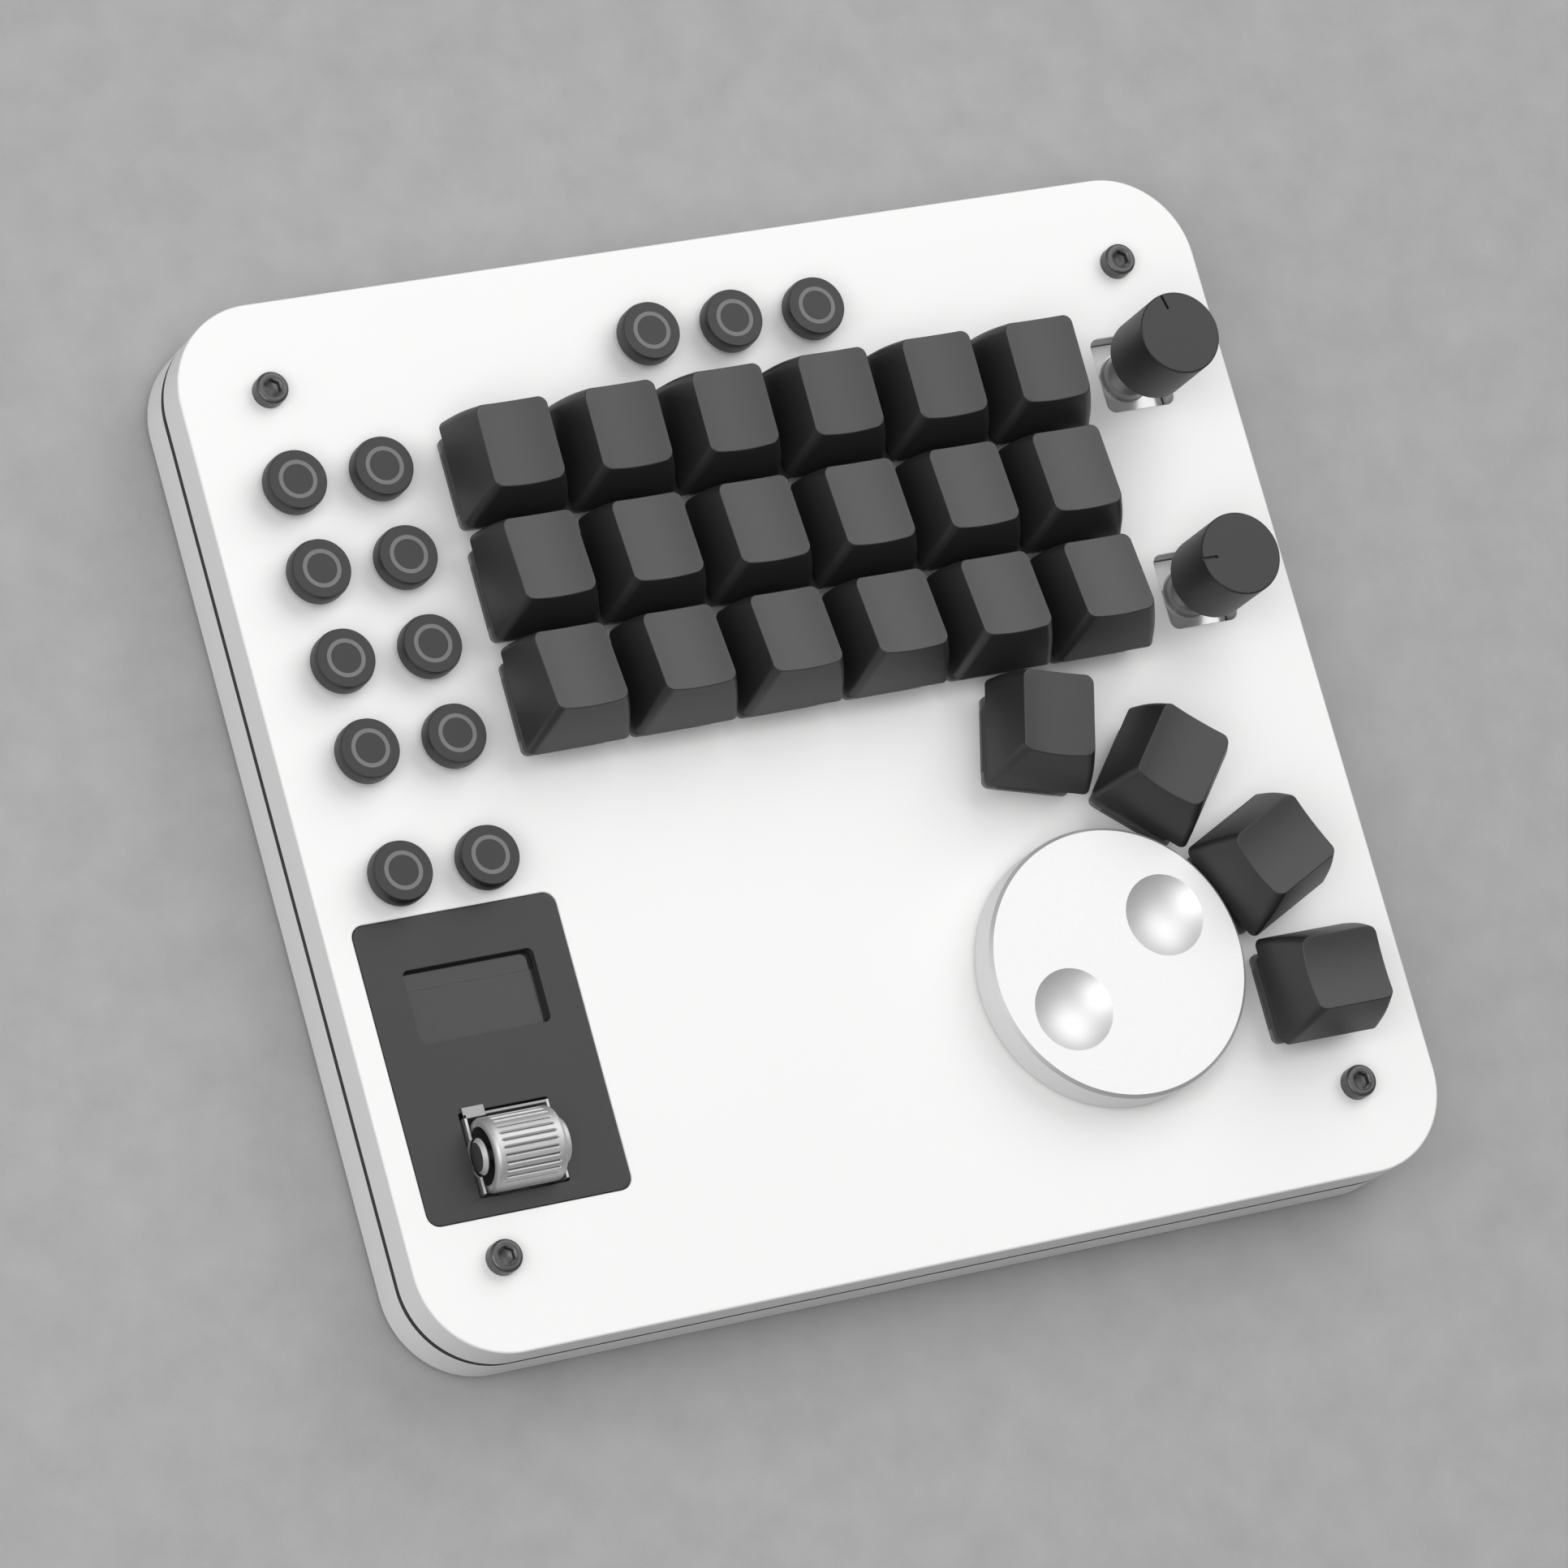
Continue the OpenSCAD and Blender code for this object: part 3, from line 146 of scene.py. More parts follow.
def rounded(w, d, r, grow=0.0, at=(0, 0), n=8):
    """A rectangle with round corners, drawn outward by grow"""
    w, d, r = w + 2 * grow, d + 2 * grow, max(r + grow, MIN_R)
    return [p for q, (sx, sy) in enumerate(((1, 1), (-1, 1), (-1, -1), (1, -1)))
            for p in arc(at[0] + sx * (w / 2 - r), at[1] + sy * (d / 2 - r), r, 90 * q, 90, n)]


def turned(outline, degrees, at):
    c, s = math.cos(math.radians(degrees)), math.sin(math.radians(degrees))
    return [(at[0] + c * x - s * y, at[1] + s * x + c * y) for x, y in outline]


def plate(w, d, r, at=(0, 0), n=8):
    """A rounded rectangle as a function of how far it is drawn outward"""
    return lambda grow: rounded(w, d, r, grow, at, n)


def disc(d, at=(0, 0), n=48):
    """A circle as a function of how far it is drawn outward"""
    return lambda grow: circle(d / 2 + grow, n, at)


def inside(p, shape):
    hit = False
    for (ax, ay), (bx, by) in zip(shape, shape[1:] + shape[:1]):
        if (ay > p[1]) != (by > p[1]) and p[0] < (bx - ax) * (p[1] - ay) / (by - ay) + ax:
            hit = not hit
    return hit


class Skin:
    """A closed surface gathered ring by ring, in millimetres; mark is a face's material number."""

    def __init__(self):
        self.points, self.faces, self.marks = [], [], []

    def ring(self, outline, z=None):
        first = len(self.points)
        self.points += [tuple(p) if z is None else (p[0], p[1], z) for p in outline]
        return list(range(first, len(self.points)))

    def face(self, corners, mark=0):
        self.faces.append(tuple(corners))
        self.marks.append(mark)

    def band(self, a, b, mark=0):
        for i in range(len(a)):
            j = (i + 1) % len(a)
            self.face((a[i], a[j], b[j], b[i]), mark)

    def chain(self, loops, mark=0):
        """Rings joined one to the next; gives the first and the last"""
        rings = [self.ring(outline, z) for outline, z in loops]
        for a, b in zip(rings, rings[1:]):
            self.band(a, b, mark)
        return rings[0], rings[-1]

    def fan(self, ring, mark=0):
        """Triangles to a middle point, which is the skin's last point afterwards"""
        n = len(ring)
        middle = [sum(self.points[i][k] for i in ring) / n for k in range(3)]
        centre = self.ring([middle])[0]
        for i in range(n):
            self.face((ring[i], ring[(i + 1) % n], centre), mark)

    def fill(self, outer, holes=(), mark=0):
        """Flat triangles between an outer ring and the rings of its holes"""
        loops = [outer, *holes]
        flat = [i for loop in loops for i in loop]
        edges, first = [], 0
        for loop in loops:
            edges += [(first + i, first + (i + 1) % len(loop)) for i in range(len(loop))]
            first += len(loop)
        spots = [Vector(self.points[i][:2]) for i in flat]
        _, _, faces, back, _, _ = delaunay_2d_cdt(spots, edges, [], 1, 1e-7)
        shapes = []
        for loop in holes:
            shape = [self.points[i][:2] for i in loop]
            shapes.append((min(p[0] for p in shape), max(p[0] for p in shape),
                           min(p[1] for p in shape), max(p[1] for p in shape), shape))
        for f in faces:
            own = [flat[back[k][0]] for k in f]
            mid = [sum(self.points[i][k] for i in own) / 3 for k in (0, 1)]
            if not any(x0 < mid[0] < x1 and y0 < mid[1] < y1 and inside(mid, shape)
                       for x0, x1, y0, y1, shape in shapes):
                self.face(own, mark)

    def lathe(self, profile, n, sides=0, ends=(0, 0)):
        """A turned form; its profile starts and ends on the axis, and a point's third number marks the band
        that starts there. sides marks the other bands, and ends the first and last face."""
        steps = [(*p, sides)[:3] for p in profile[1:-1]]
        rings = [self.ring(circle(r, n), z) for r, z, _ in steps]
        for a, b, (_, _, mark) in zip(rings, rings[1:], steps):
            self.band(a, b, mark)
        for ring, (_, z), mark in zip((rings[0], rings[-1]), (profile[0], profile[-1]), ends):
            self.fan(ring, mark)
            self.points[-1] = (0, 0, z)

    def slab(self, shape, z0, z1, edge=0.0, mark=0):
        """A plate between two heights; shape(grow) gives its outline, and edge is the chamfer."""
        loops = [(shape(-edge), z0), (shape(0), z0 + edge), (shape(0), z1 - edge), (shape(-edge), z1)]
        first, last = self.chain(loops if edge else [loops[1], loops[2]], mark)
        self.fill(first, mark=mark)
        self.fill(last, mark=mark)

    def box(self, lo, hi, edge=0.0, mark=0):
        at = ((hi[0] + lo[0]) / 2, (hi[1] + lo[1]) / 2)
        self.slab(plate(hi[0] - lo[0], hi[1] - lo[1], edge, at, 2 if edge else 1), lo[2], hi[2], edge, mark)

    def move(self, matrix):
        self.points = [tuple(matrix @ Vector(p)) for p in self.points]

    def add(self, other, matrix):
        first = len(self.points)
        self.points += [tuple(matrix @ Vector(p)) for p in other.points]
        self.faces += [tuple(i + first for i in f) for f in other.faces]
        self.marks += other.marks


def place(x, y, z=0.0, degrees=0.0):
    return Matrix.Translation((x, y, z)) @ Matrix.Rotation(math.radians(degrees), 4, "Z")


def skin_object(name, skin):
    mesh = bpy.data.meshes.new(name)
    mesh.from_pydata([Vector(p) * MM for p in skin.points], [], skin.faces)
    obj = bpy.data.objects.new(name, mesh)
    bpy.context.scene.collection.objects.link(obj)
    return obj


def weigh_normals(obj):
    obj.modifiers.new("normals", "WEIGHTED_NORMAL").keep_sharp = True


def piece(name, skin, finishes, body, nodes, bevel=0.0):
    """Makes a piece from a skin, shades it and ties it to its body"""
    obj = skin_object(name, skin)
    mesh = obj.data
    for finish in finishes:
        mesh.materials.append(finish)
    mesh.polygons.foreach_set("material_index", skin.marks)
    bm = bmesh.new()
    bm.from_mesh(mesh)
    bmesh.ops.recalc_face_normals(bm, faces=bm.faces)
    bm.to_mesh(mesh)
    bm.free()
    mesh.polygons.foreach_set("use_smooth", [True] * len(mesh.polygons))
    mesh.set_sharp_from_angle(angle=CREASE)
    if bevel:
        mod = obj.modifiers.new("bevel", "BEVEL")
        mod.width, mod.segments, mod.limit_method = bevel * MM, 2, "ANGLE"
        mod.angle_limit = BEVEL_ANGLE
    weigh_normals(obj)
    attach(obj, body)
    if nodes:
        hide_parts(*nodes)
    return obj


def carve(obj, tool_skin):
    """Cuts a skin out of a piece and keeps the result in its mesh"""
    tool = skin_object("tool", tool_skin)
    obj.modifiers.remove(obj.modifiers["normals"])
    cut = obj.modifiers.new("cut", "BOOLEAN")
    cut.operation, cut.object, cut.solver = "DIFFERENCE", tool, "EXACT"
    bpy.context.view_layer.update()
    done = bpy.data.meshes.new_from_object(obj.evaluated_get(bpy.context.evaluated_depsgraph_get()))
    obj.modifiers.clear()
    obj.data = done
    done.set_sharp_from_angle(angle=CREASE)
    weigh_normals(obj)
    bpy.data.objects.remove(tool)


# Materials: each colour is mottled a little, and each surface has its own fine relief.

MOTTLE_OCTAVES, GRAIN_OCTAVES, NOISE_ROUGHNESS = 3.0, 4.0, 0.55
NOISE_LOW, NOISE_HIGH = 0.3, 0.7        # where most of a noise's values lie


def material(name, colour, rough, metal=0.0, mottle=0.04, mottle_size=9.0, grain=0.15, relief=0.01,
             stretch=(1, 1, 1), rough_spread=0.04, specular=0.5):
    """grain is the size of the surface's fine relief in mm, relief its height in mm, and mottle_size
    the size in mm of the slow change of tone."""
    mat = bpy.data.materials.new(name)
    mat.use_nodes = True
    nodes, links = mat.node_tree.nodes, mat.node_tree.links
    shader = nodes["Principled BSDF"]
    shader.inputs["Metallic"].default_value = metal
    shader.inputs["Specular IOR Level"].default_value = specular
    spot = nodes.new("ShaderNodeTexCoord")
    scale = nodes.new("ShaderNodeMapping")
    scale.inputs["Scale"].default_value = stretch
    links.new(spot.outputs["Object"], scale.inputs["Vector"])

    def noise(size, source, octaves):
        n = nodes.new("ShaderNodeTexNoise")
        n.inputs["Scale"].default_value = 1 / (size * MM)
        n.inputs["Detail"].default_value = octaves
        n.inputs["Roughness"].default_value = NOISE_ROUGHNESS
        links.new(source, n.inputs["Vector"])
        return n.outputs["Fac"]

    slow = noise(mottle_size, spot.outputs["Object"], MOTTLE_OCTAVES)
    fine = noise(grain, scale.outputs["Vector"], GRAIN_OCTAVES)
    tone = nodes.new("ShaderNodeMix")
    tone.data_type = "RGBA"
    rgb = colour if isinstance(colour, tuple) else (colour,) * 3
    tone.inputs["A"].default_value = (*[c * (1 - mottle) for c in rgb], 1)
    tone.inputs["B"].default_value = (*[min(1, c * (1 + mottle)) for c in rgb], 1)
    links.new(slow, tone.inputs["Factor"])
    links.new(tone.outputs["Result"], shader.inputs["Base Color"])
    spread = nodes.new("ShaderNodeMapRange")
    spread.inputs["From Min"].default_value = NOISE_LOW
    spread.inputs["From Max"].default_value = NOISE_HIGH
    spread.inputs["To Min"].default_value = max(0.02, rough - rough_spread)
    spread.inputs["To Max"].default_value = min(1, rough + rough_spread)
    links.new(fine, spread.inputs["Value"])
    links.new(spread.outputs["Result"], shader.inputs["Roughness"])
    bump = nodes.new("ShaderNodeBump")
    bump.inputs["Strength"].default_value = 1.0
    bump.inputs["Distance"].default_value = relief * MM
    links.new(fine, bump.inputs["Height"])
    links.new(bump.outputs["Normal"], shader.inputs["Normal"])
    return mat


SHELL = material("shell_white", (0.86, 0.86, 0.855), 0.45, mottle=0.008, mottle_size=30, grain=0.35,
                 relief=0.004)
GASKET = material("seam_rubber", 0.045, 0.8, mottle=0.1, grain=0.25, relief=0.02, specular=0.3)
STEEL_BLACK = material("black_steel", 0.1, 0.38, metal=0.7, mottle=0.25, mottle_size=0.7, grain=0.28,
                       relief=0.018, rough_spread=0.1)
BRASS = material("insert_brass", (0.72, 0.5, 0.2), 0.32, metal=1.0, grain=0.15, relief=0.006)
FOOT = material("foot_rubber", 0.03, 0.85, mottle=0.12, grain=0.3, relief=0.03)
BOARD = material("board", (0.02, 0.1, 0.045), 0.35, mottle=0.12, mottle_size=2.5, grain=0.4, relief=0.01)
SWITCH = material("switch_plastic", 0.06, 0.4, mottle=0.06, grain=0.12, relief=0.006)
SWITCH_CLEAR = material("switch_clear", 0.13, 0.35, mottle=0.08, mottle_size=0.8, grain=0.2, relief=0.004)
ENCODER = material("encoder_metal", 0.64, 0.15, metal=0.5, mottle=0.06, mottle_size=1.5, grain=0.2,
                   relief=0.002)
ENCODER_COLLAR = material("encoder_collar", 0.2, 0.42, metal=0.3, mottle=0.05, mottle_size=1, grain=0.2,
                          relief=0.004)
ENCODER_BASE = material("encoder_base", 0.85, 0.4, mottle=0.05, mottle_size=1.5, grain=0.2, relief=0.004)
BEARING = material("bearing_plastic", 0.05, 0.45, mottle=0.06, grain=0.2, relief=0.01)
SOCKET = material("socket_steel", 0.6, 0.28, metal=1.0, grain=0.12, relief=0.003)
BEZEL = material("bezel_plastic", 0.022, 0.5, mottle=0.05, mottle_size=5, grain=0.18, relief=0.008,
                 specular=0.6)
GLASS_DARK = material("display_glass", 0.012, 0.12, mottle=0.05, grain=1.5, relief=0.0005, rough_spread=0.02)
FILM = material("display_film", 0.018, 0.2, mottle=0.04, grain=1.0, relief=0.0005, rough_spread=0.02)
BRACKET = material("bracket_steel", 0.34, 0.45, metal=0.5, mottle=0.08, mottle_size=1.0, grain=0.12,
                   relief=0.004)
KEYCAP = material("keycap_plastic", 0.013, 0.46, mottle=0.03, mottle_size=6, grain=0.16, relief=0.008,
                  specular=0.86)
# Painted shade: the fan caps take a duller copy of the keycap plastic, with less sheen, so that they look
# darker where they sit beside the wheel
KEYCAP_FAN_SHADED = material("keycap_fan_painted_shade", 0.012, 0.48, mottle=0.03, mottle_size=6, grain=0.16, relief=0.008,
                      specular=0.74)
BUTTON = material("button_plastic", 0.012, 0.48, mottle=0.05, mottle_size=3, grain=0.12, relief=0.006,
                  specular=0.62)
PRINT = material("ring_print", 0.16, 0.55, mottle=0.05, mottle_size=0.8, grain=0.1, relief=0.006)
KNOB = material("knob_black", 0.012, 0.5, mottle=0.05, mottle_size=3, grain=0.13, relief=0.006, specular=0.62)
WHEEL = material("wheel_aluminium", 0.88, 0.7, metal=0.3, mottle=0.05, mottle_size=0.25, grain=0.2,
                 relief=0.03, rough_spread=0.06)
# The wheel's side: brushed aluminium, its tone set darker than the top's as painted shade
WHEEL_SIDE_PAINTED_SHADE = material("wheel_side_painted_shade", 0.76, 0.6, metal=0.3, mottle=0.03, mottle_size=0.4, grain=0.2,
                      relief=0.006, stretch=(1, 1, 0.1))
WHEEL_CUT = material("wheel_cut_edge", 0.6, 0.4, metal=0.5, mottle=0.02, mottle_size=4, grain=0.1,
                     relief=0.001)
DIMPLE = material("wheel_dimple", 0.74, 0.49, metal=0.7, mottle=0.05, mottle_size=0.25, grain=0.14,
                  relief=0.012)
SPINDLE = material("spindle_steel", 0.6, 0.25, metal=1.0, grain=0.1, relief=0.003, stretch=(1, 1, 0.1))
# A paler steel: on the bracket arms' edges a painted highlight, paler than the bracket's own steel; on the
# axle the silver of its discs' faces and rims
PALE_STEEL_AND_HIGHLIGHT = material("pale_steel_and_painted_highlight", 0.6, 0.45, metal=0.4, mottle=0.05, mottle_size=0.6, grain=0.12,
                     relief=0.004)
# Painted shade: a near-black copy of the steel, for the inside of the roller's cup, the left axle disc's
# outer face and the axle between the discs
STEEL_PAINTED_SHADE = material("steel_painted_shade", 0.1, 0.45, metal=0.5, mottle=0.06, mottle_size=1, grain=0.12, relief=0.004)
# Painted shade: a near-black copy of the roller's metal, for the floors of its grooves
GROOVE_PAINTED_SHADE = material("roller_groove_painted_shade", 0.1, 0.5, metal=0.5, mottle=0.05, mottle_size=1, grain=0.12, relief=0.004)
ROLLER = material("roller_metal", 0.6, 0.5, metal=0.75, mottle=0.05, mottle_size=1.5, grain=0.14,
                  relief=0.006)

NODE_FINISH = {
    "bottom_case": SHELL, "threaded_inserts": BRASS, "rubber_feet": FOOT,
    "main_pcb": BOARD, "encoder_boards": BOARD, "controller_board": BOARD, "usb_socket": SOCKET,
    "button_switches": SWITCH, "jog_bearing": BEARING, "encoder_rotor_1": BEARING,
    "encoder_rotor_2": BEARING, "jog_spindle": SPINDLE}
for name, finish in NODE_FINISH.items():
    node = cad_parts[name]
    node.data.materials.clear()
    node.data.materials.append(finish)


# Camera, floor and studio

camera = bpy.data.objects.new("camera", bpy.data.cameras.new("camera"))
bpy.context.scene.collection.objects.link(camera)
bpy.context.scene.camera = camera
camera.data.sensor_width = 36
camera.data.lens = 183.047
camera.data.clip_end = 20
camera.location = Vector((-552.754, -259.363, 1148.014)) * MM
camera.rotation_euler = (0.31657695, -0.37881536, -0.28892492)

FLOOR_REACH = 4000
stage_skin = Skin()
stage_skin.face(stage_skin.ring([(sx * FLOOR_REACH, sy * FLOOR_REACH)
                                 for sx, sy in ((-1, -1), (1, -1), (1, 1), (-1, 1))], 0.0))
floor = skin_object("floor", stage_skin)
floor.data.materials.append(material("floor_paper", 0.38, 0.9, mottle=0.12, mottle_size=9, grain=0.6,
                                     relief=0.06, specular=0.2))

# The studio's brightness at the horizon and overhead, and how much more of it there is at the back
HORIZON, ZENITH, BACK_SHARE = 0.06, 0.43, 0.3
world = bpy.data.worlds.new("studio")
bpy.context.scene.world = world
world.use_nodes = True
sky, sky_links = world.node_tree.nodes, world.node_tree.links
ray, ray_parts = sky.new("ShaderNodeTexCoord"), sky.new("ShaderNodeSeparateXYZ")
glow = sky.new("ShaderNodeMapRange")
glow.inputs["To Min"].default_value, glow.inputs["To Max"].default_value = HORIZON, ZENITH
sky_links.new(ray.outputs["Generated"], ray_parts.inputs["Vector"])
sky_links.new(ray_parts.outputs["Z"], glow.inputs["Value"])
back_gain, strength = sky.new("ShaderNodeMath"), sky.new("ShaderNodeMath")
back_gain.operation, strength.operation = "MULTIPLY_ADD", "MULTIPLY"
back_gain.inputs[1].default_value, back_gain.inputs[2].default_value = BACK_SHARE, 1
sky_links.new(ray_parts.outputs["Y"], back_gain.inputs[0])
sky_links.new(glow.outputs["Result"], strength.inputs[0])
sky_links.new(back_gain.outputs["Value"], strength.inputs[1])
sky_links.new(strength.outputs["Value"], sky["Background"].inputs["Strength"])
sky["Background"].inputs["Color"].default_value = (1, 1, 1, 1)
bpy.context.scene.view_settings.view_transform = "Standard"


def softbox(name, at, size, power):
    """A rectangular lamp that faces the object"""
    light = bpy.data.lights.new(name, "AREA")
    light.shape, light.size, light.size_y, light.energy = "RECTANGLE", size[0], size[1], power
    obj = bpy.data.objects.new(name, light)
    obj.location = at
    obj.rotation_euler = Vector(at).to_track_quat("Z", "Y").to_euler()
    bpy.context.scene.collection.objects.link(obj)


softbox("overhead", (0.66, 0.58, 0.97), (1.3, 1.3), 9.2)
softbox("front_fill", (-0.8, -0.24, 1.43), (1.3, 1.3), 15.2)
softbox("left_fill", (-1.18, 0.25, 0.55), (1.2, 0.9), 2.7)


# Case

def case_plan(grow):
    return rounded(CASE_W, CASE_D, CORNER_R, grow, n=24)


def top_case_skin():
    """Plate and walls in one skin: from each cut-out's upper rim down to the plate's underside"""
    skin = Skin()
    upper, lower = [], []

    def opening(shape, levels):
        first, last = skin.chain([(shape(LIP), PLATE_Z), (shape(0), PLATE_Z - LIP), *levels])
        upper.append(first)
        lower.append(last)

    for x, y, turn, _ in KEYS.values():
        def square(grow):
            return turned(rounded(SWITCH_HOLE, SWITCH_HOLE, SWITCH_HOLE_R, grow, n=2), turn, (x, y))
        opening(square, [(square(0), CEILING_Z)])
    for p in BUTTONS:
        hole = disc(BUTTON_HOLE, p)
        opening(hole, [(hole(0), CEILING_Z)])
    for p in KNOBS:
        hole = plate(*ENCODER_HOLE, p)
        wall = hole(ENCODER_HOLE_WALL)
        opening(hole, [(hole(0), ENCODER_HOLE_LOW), (wall, ENCODER_HOLE_LOW), (wall, CEILING_Z)])
    hole = disc(JOG_HOLE_D, JOG)
    opening(hole, [(hole(0), CEILING_Z)])
    for p in SCREWS:
        hole, boss = disc(HOLE_D, p, 32), disc(BOSS_D, p, 32)(0)
        opening(hole, [(hole(0), SEAM_Z), (boss, SEAM_Z), (boss, CEILING_Z)])
    at = (PANEL_X, PANEL_Y)
    recess = plate(PANEL_W + 2 * PANEL_GAP, PANEL_D + 2 * PANEL_GAP, PANEL_R + PANEL_GAP, at)
    ledge = rounded(PANEL_W - 2 * LEDGE_W, PANEL_D - 2 * LEDGE_W, LEDGE_R, 0, at)
    pad = rounded(PANEL_W + 2 * PAD_W, PANEL_D + 2 * PAD_W, PANEL_R + PAD_W, 0, at)
    seat_z = PLATE_Z - PANEL_SINK - PANEL_T
    opening(recess, [(recess(0), seat_z), (ledge, seat_z), (ledge, seat_z - LEDGE_T),
                     (pad, seat_z - LEDGE_T), (pad, CEILING_Z)])
    rim = [(case_plan(EDGE * (math.cos(a) - 1)), PLATE_Z - EDGE * (1 - math.sin(a)))
           for a in [math.radians(90 - 22.5 * i) for i in range(5)]]
    first, last = skin.chain([*rim, (case_plan(0), SHELL_Z + SHELL_CHAMFER),
                              (case_plan(-SHELL_CHAMFER), SHELL_Z), (case_plan(-WALL), SHELL_Z),
                              (case_plan(-WALL), CEILING_Z)])
    skin.fill(first, upper)
    skin.fill(last, lower)
    return skin


piece("top_shell", top_case_skin(), [SHELL], "root", ["top_case"])

strip = Skin()
first, last = strip.chain([(case_plan(grow), z) for grow, z in (
    (-2 * STRIP_INSET, SEAM_Z), (-STRIP_INSET, SEAM_Z + STRIP_INSET), (-STRIP_INSET, SHELL_Z - STRIP_INSET),
    (-2 * STRIP_INSET, SHELL_Z), (-WALL, SHELL_Z), (-WALL, SEAM_Z))])
strip.band(last, first)
piece("seam_strip", strip, [GASKET], "root", ["seam_gasket"])


def screw_skin():
    """From the tip up to the head, over the groove round the socket, and down to the drilled cone"""
    skin, r, sides = Skin(), HEAD_D / 2, 36

    def ring(q, z):
        return circle(q, sides, turn=30), z

    corners, share = circle(HEX_AF / 2 / math.cos(math.radians(30)), 6, turn=30), sides // 6
    socket = [(ax + (bx - ax) * t / share, ay + (by - ay) * t / share)
              for (ax, ay), (bx, by) in zip(corners, corners[1:] + corners[:1]) for t in range(share)]
    tip, last = skin.chain(
        [ring(SCREW_D / 2 - SCREW_TIP, -SCREW_LEN), ring(SCREW_D / 2, SCREW_TIP - SCREW_LEN),
         ring(SCREW_D / 2, 0), ring(r - HEAD_LOW, 0), ring(r, HEAD_LOW)]
        + [ring(r - inset, HEAD_H - drop) for inset, drop in HEAD_EDGE]
        + [ring(HEX_AF / 2 + out, HEAD_H - drop) for out, drop in SOCKET_RIM]
        + [(socket, HEAD_H - drop) for drop in SOCKET_Z]
        + [ring(HEX_AF / 2 - DRILL_INSET, HEAD_H - DRILL_Z[0])])
    skin.fan(tip)
    skin.fan(last)
    skin.points[-1] = (0, 0, HEAD_H - DRILL_Z[1])
    return skin


screws, screw = Skin(), screw_skin()
for p in SCREWS:
    screws.add(screw, place(*p, PLATE_Z))
piece("case_screws_detailed", screws, [STEEL_BLACK], "root", ["case_screws"])


# Keys. A spot on a cap's side is a corner, an angle on its arc, and a share of the way to the next corner.

SPOTS = [spot for q in range(4)
         for spot in [(q, 90 * i / 8, 0) for i in range(9)] + [(q, 90, k / 10) for k in range(1, 10)]]


def cap_box(row, t, inset=0.0):
    """[left, right, front, back] of a cap at height share t, from rim to top"""
    half, bow = CAP_W / 2 - inset, BOW * math.sin(math.pi * t)
    return (-half + SIDE_INSET * t - bow, half - SIDE_INSET * t + bow,
            -half + FRONT_INSET[row] * t - bow, half - BACK_INSET[row] * t + bow)


def plane_z(row, y):
    """Height of the cap's undished top above the plate"""
    front, back = -CAP_W / 2 + FRONT_INSET[row], CAP_W / 2 - BACK_INSET[row]
    return FRONT_H[row] + (BACK_H[row] - FRONT_H[row]) * (y - front) / (back - front)


def dish_z(row, x, y):
    half = CAP_W / 2 - SIDE_INSET - DISH_LAND
    r = (half * half + DISH * DISH) / (2 * DISH)
    slope = math.atan2(BACK_H[row] - FRONT_H[row], CAP_W - FRONT_INSET[row] - BACK_INSET[row])
    sag = min(0.0, r - DISH - math.sqrt(max(0.0, r * r - x * x)))
    return plane_z(row, y) + sag / math.cos(slope)


def cap_point(row, t, spot, inset=0.0):
    """A point of the cap's side, or of a shape drawn inward from it, at height share t"""
    corner, angle, along = spot
    x0, x1, y0, y1 = cap_box(row, t, inset)
    r = RIM_R + (TOP_R - RIM_R) * t - inset / 2

    def on_arc(q, degrees):
        cx = x1 - r if q in (0, 3) else x0 + r
        cy = y1 - r if q < 2 else y0 + r
        return cx + r * math.cos(math.radians(degrees)), cy + r * math.sin(math.radians(degrees))

    x, y = on_arc(corner, 90 * corner + angle)
    if along:
        bx, by = on_arc((corner + 1) % 4, 90 * corner + 90)
        x, y = x + (bx - x) * along, y + (by - y) * along
    front, back = [CAP_LIFT + (height[row] - CAP_LIFT) * t for height in (FRONT_H, BACK_H)]
    return Vector((x, y, front + (back - front) * (y - y0) / (y1 - y0)))


def top_share(row, spot):
    """The height share at which the cap's side meets its dished top"""
    low, high = 0.5, 1.0
    for _ in range(30):
        t = (low + high) / 2
        p = cap_point(row, t, spot)
        if p.z < dish_z(row, p.x, p.y):
            low = t
        else:
            high = t
    return high


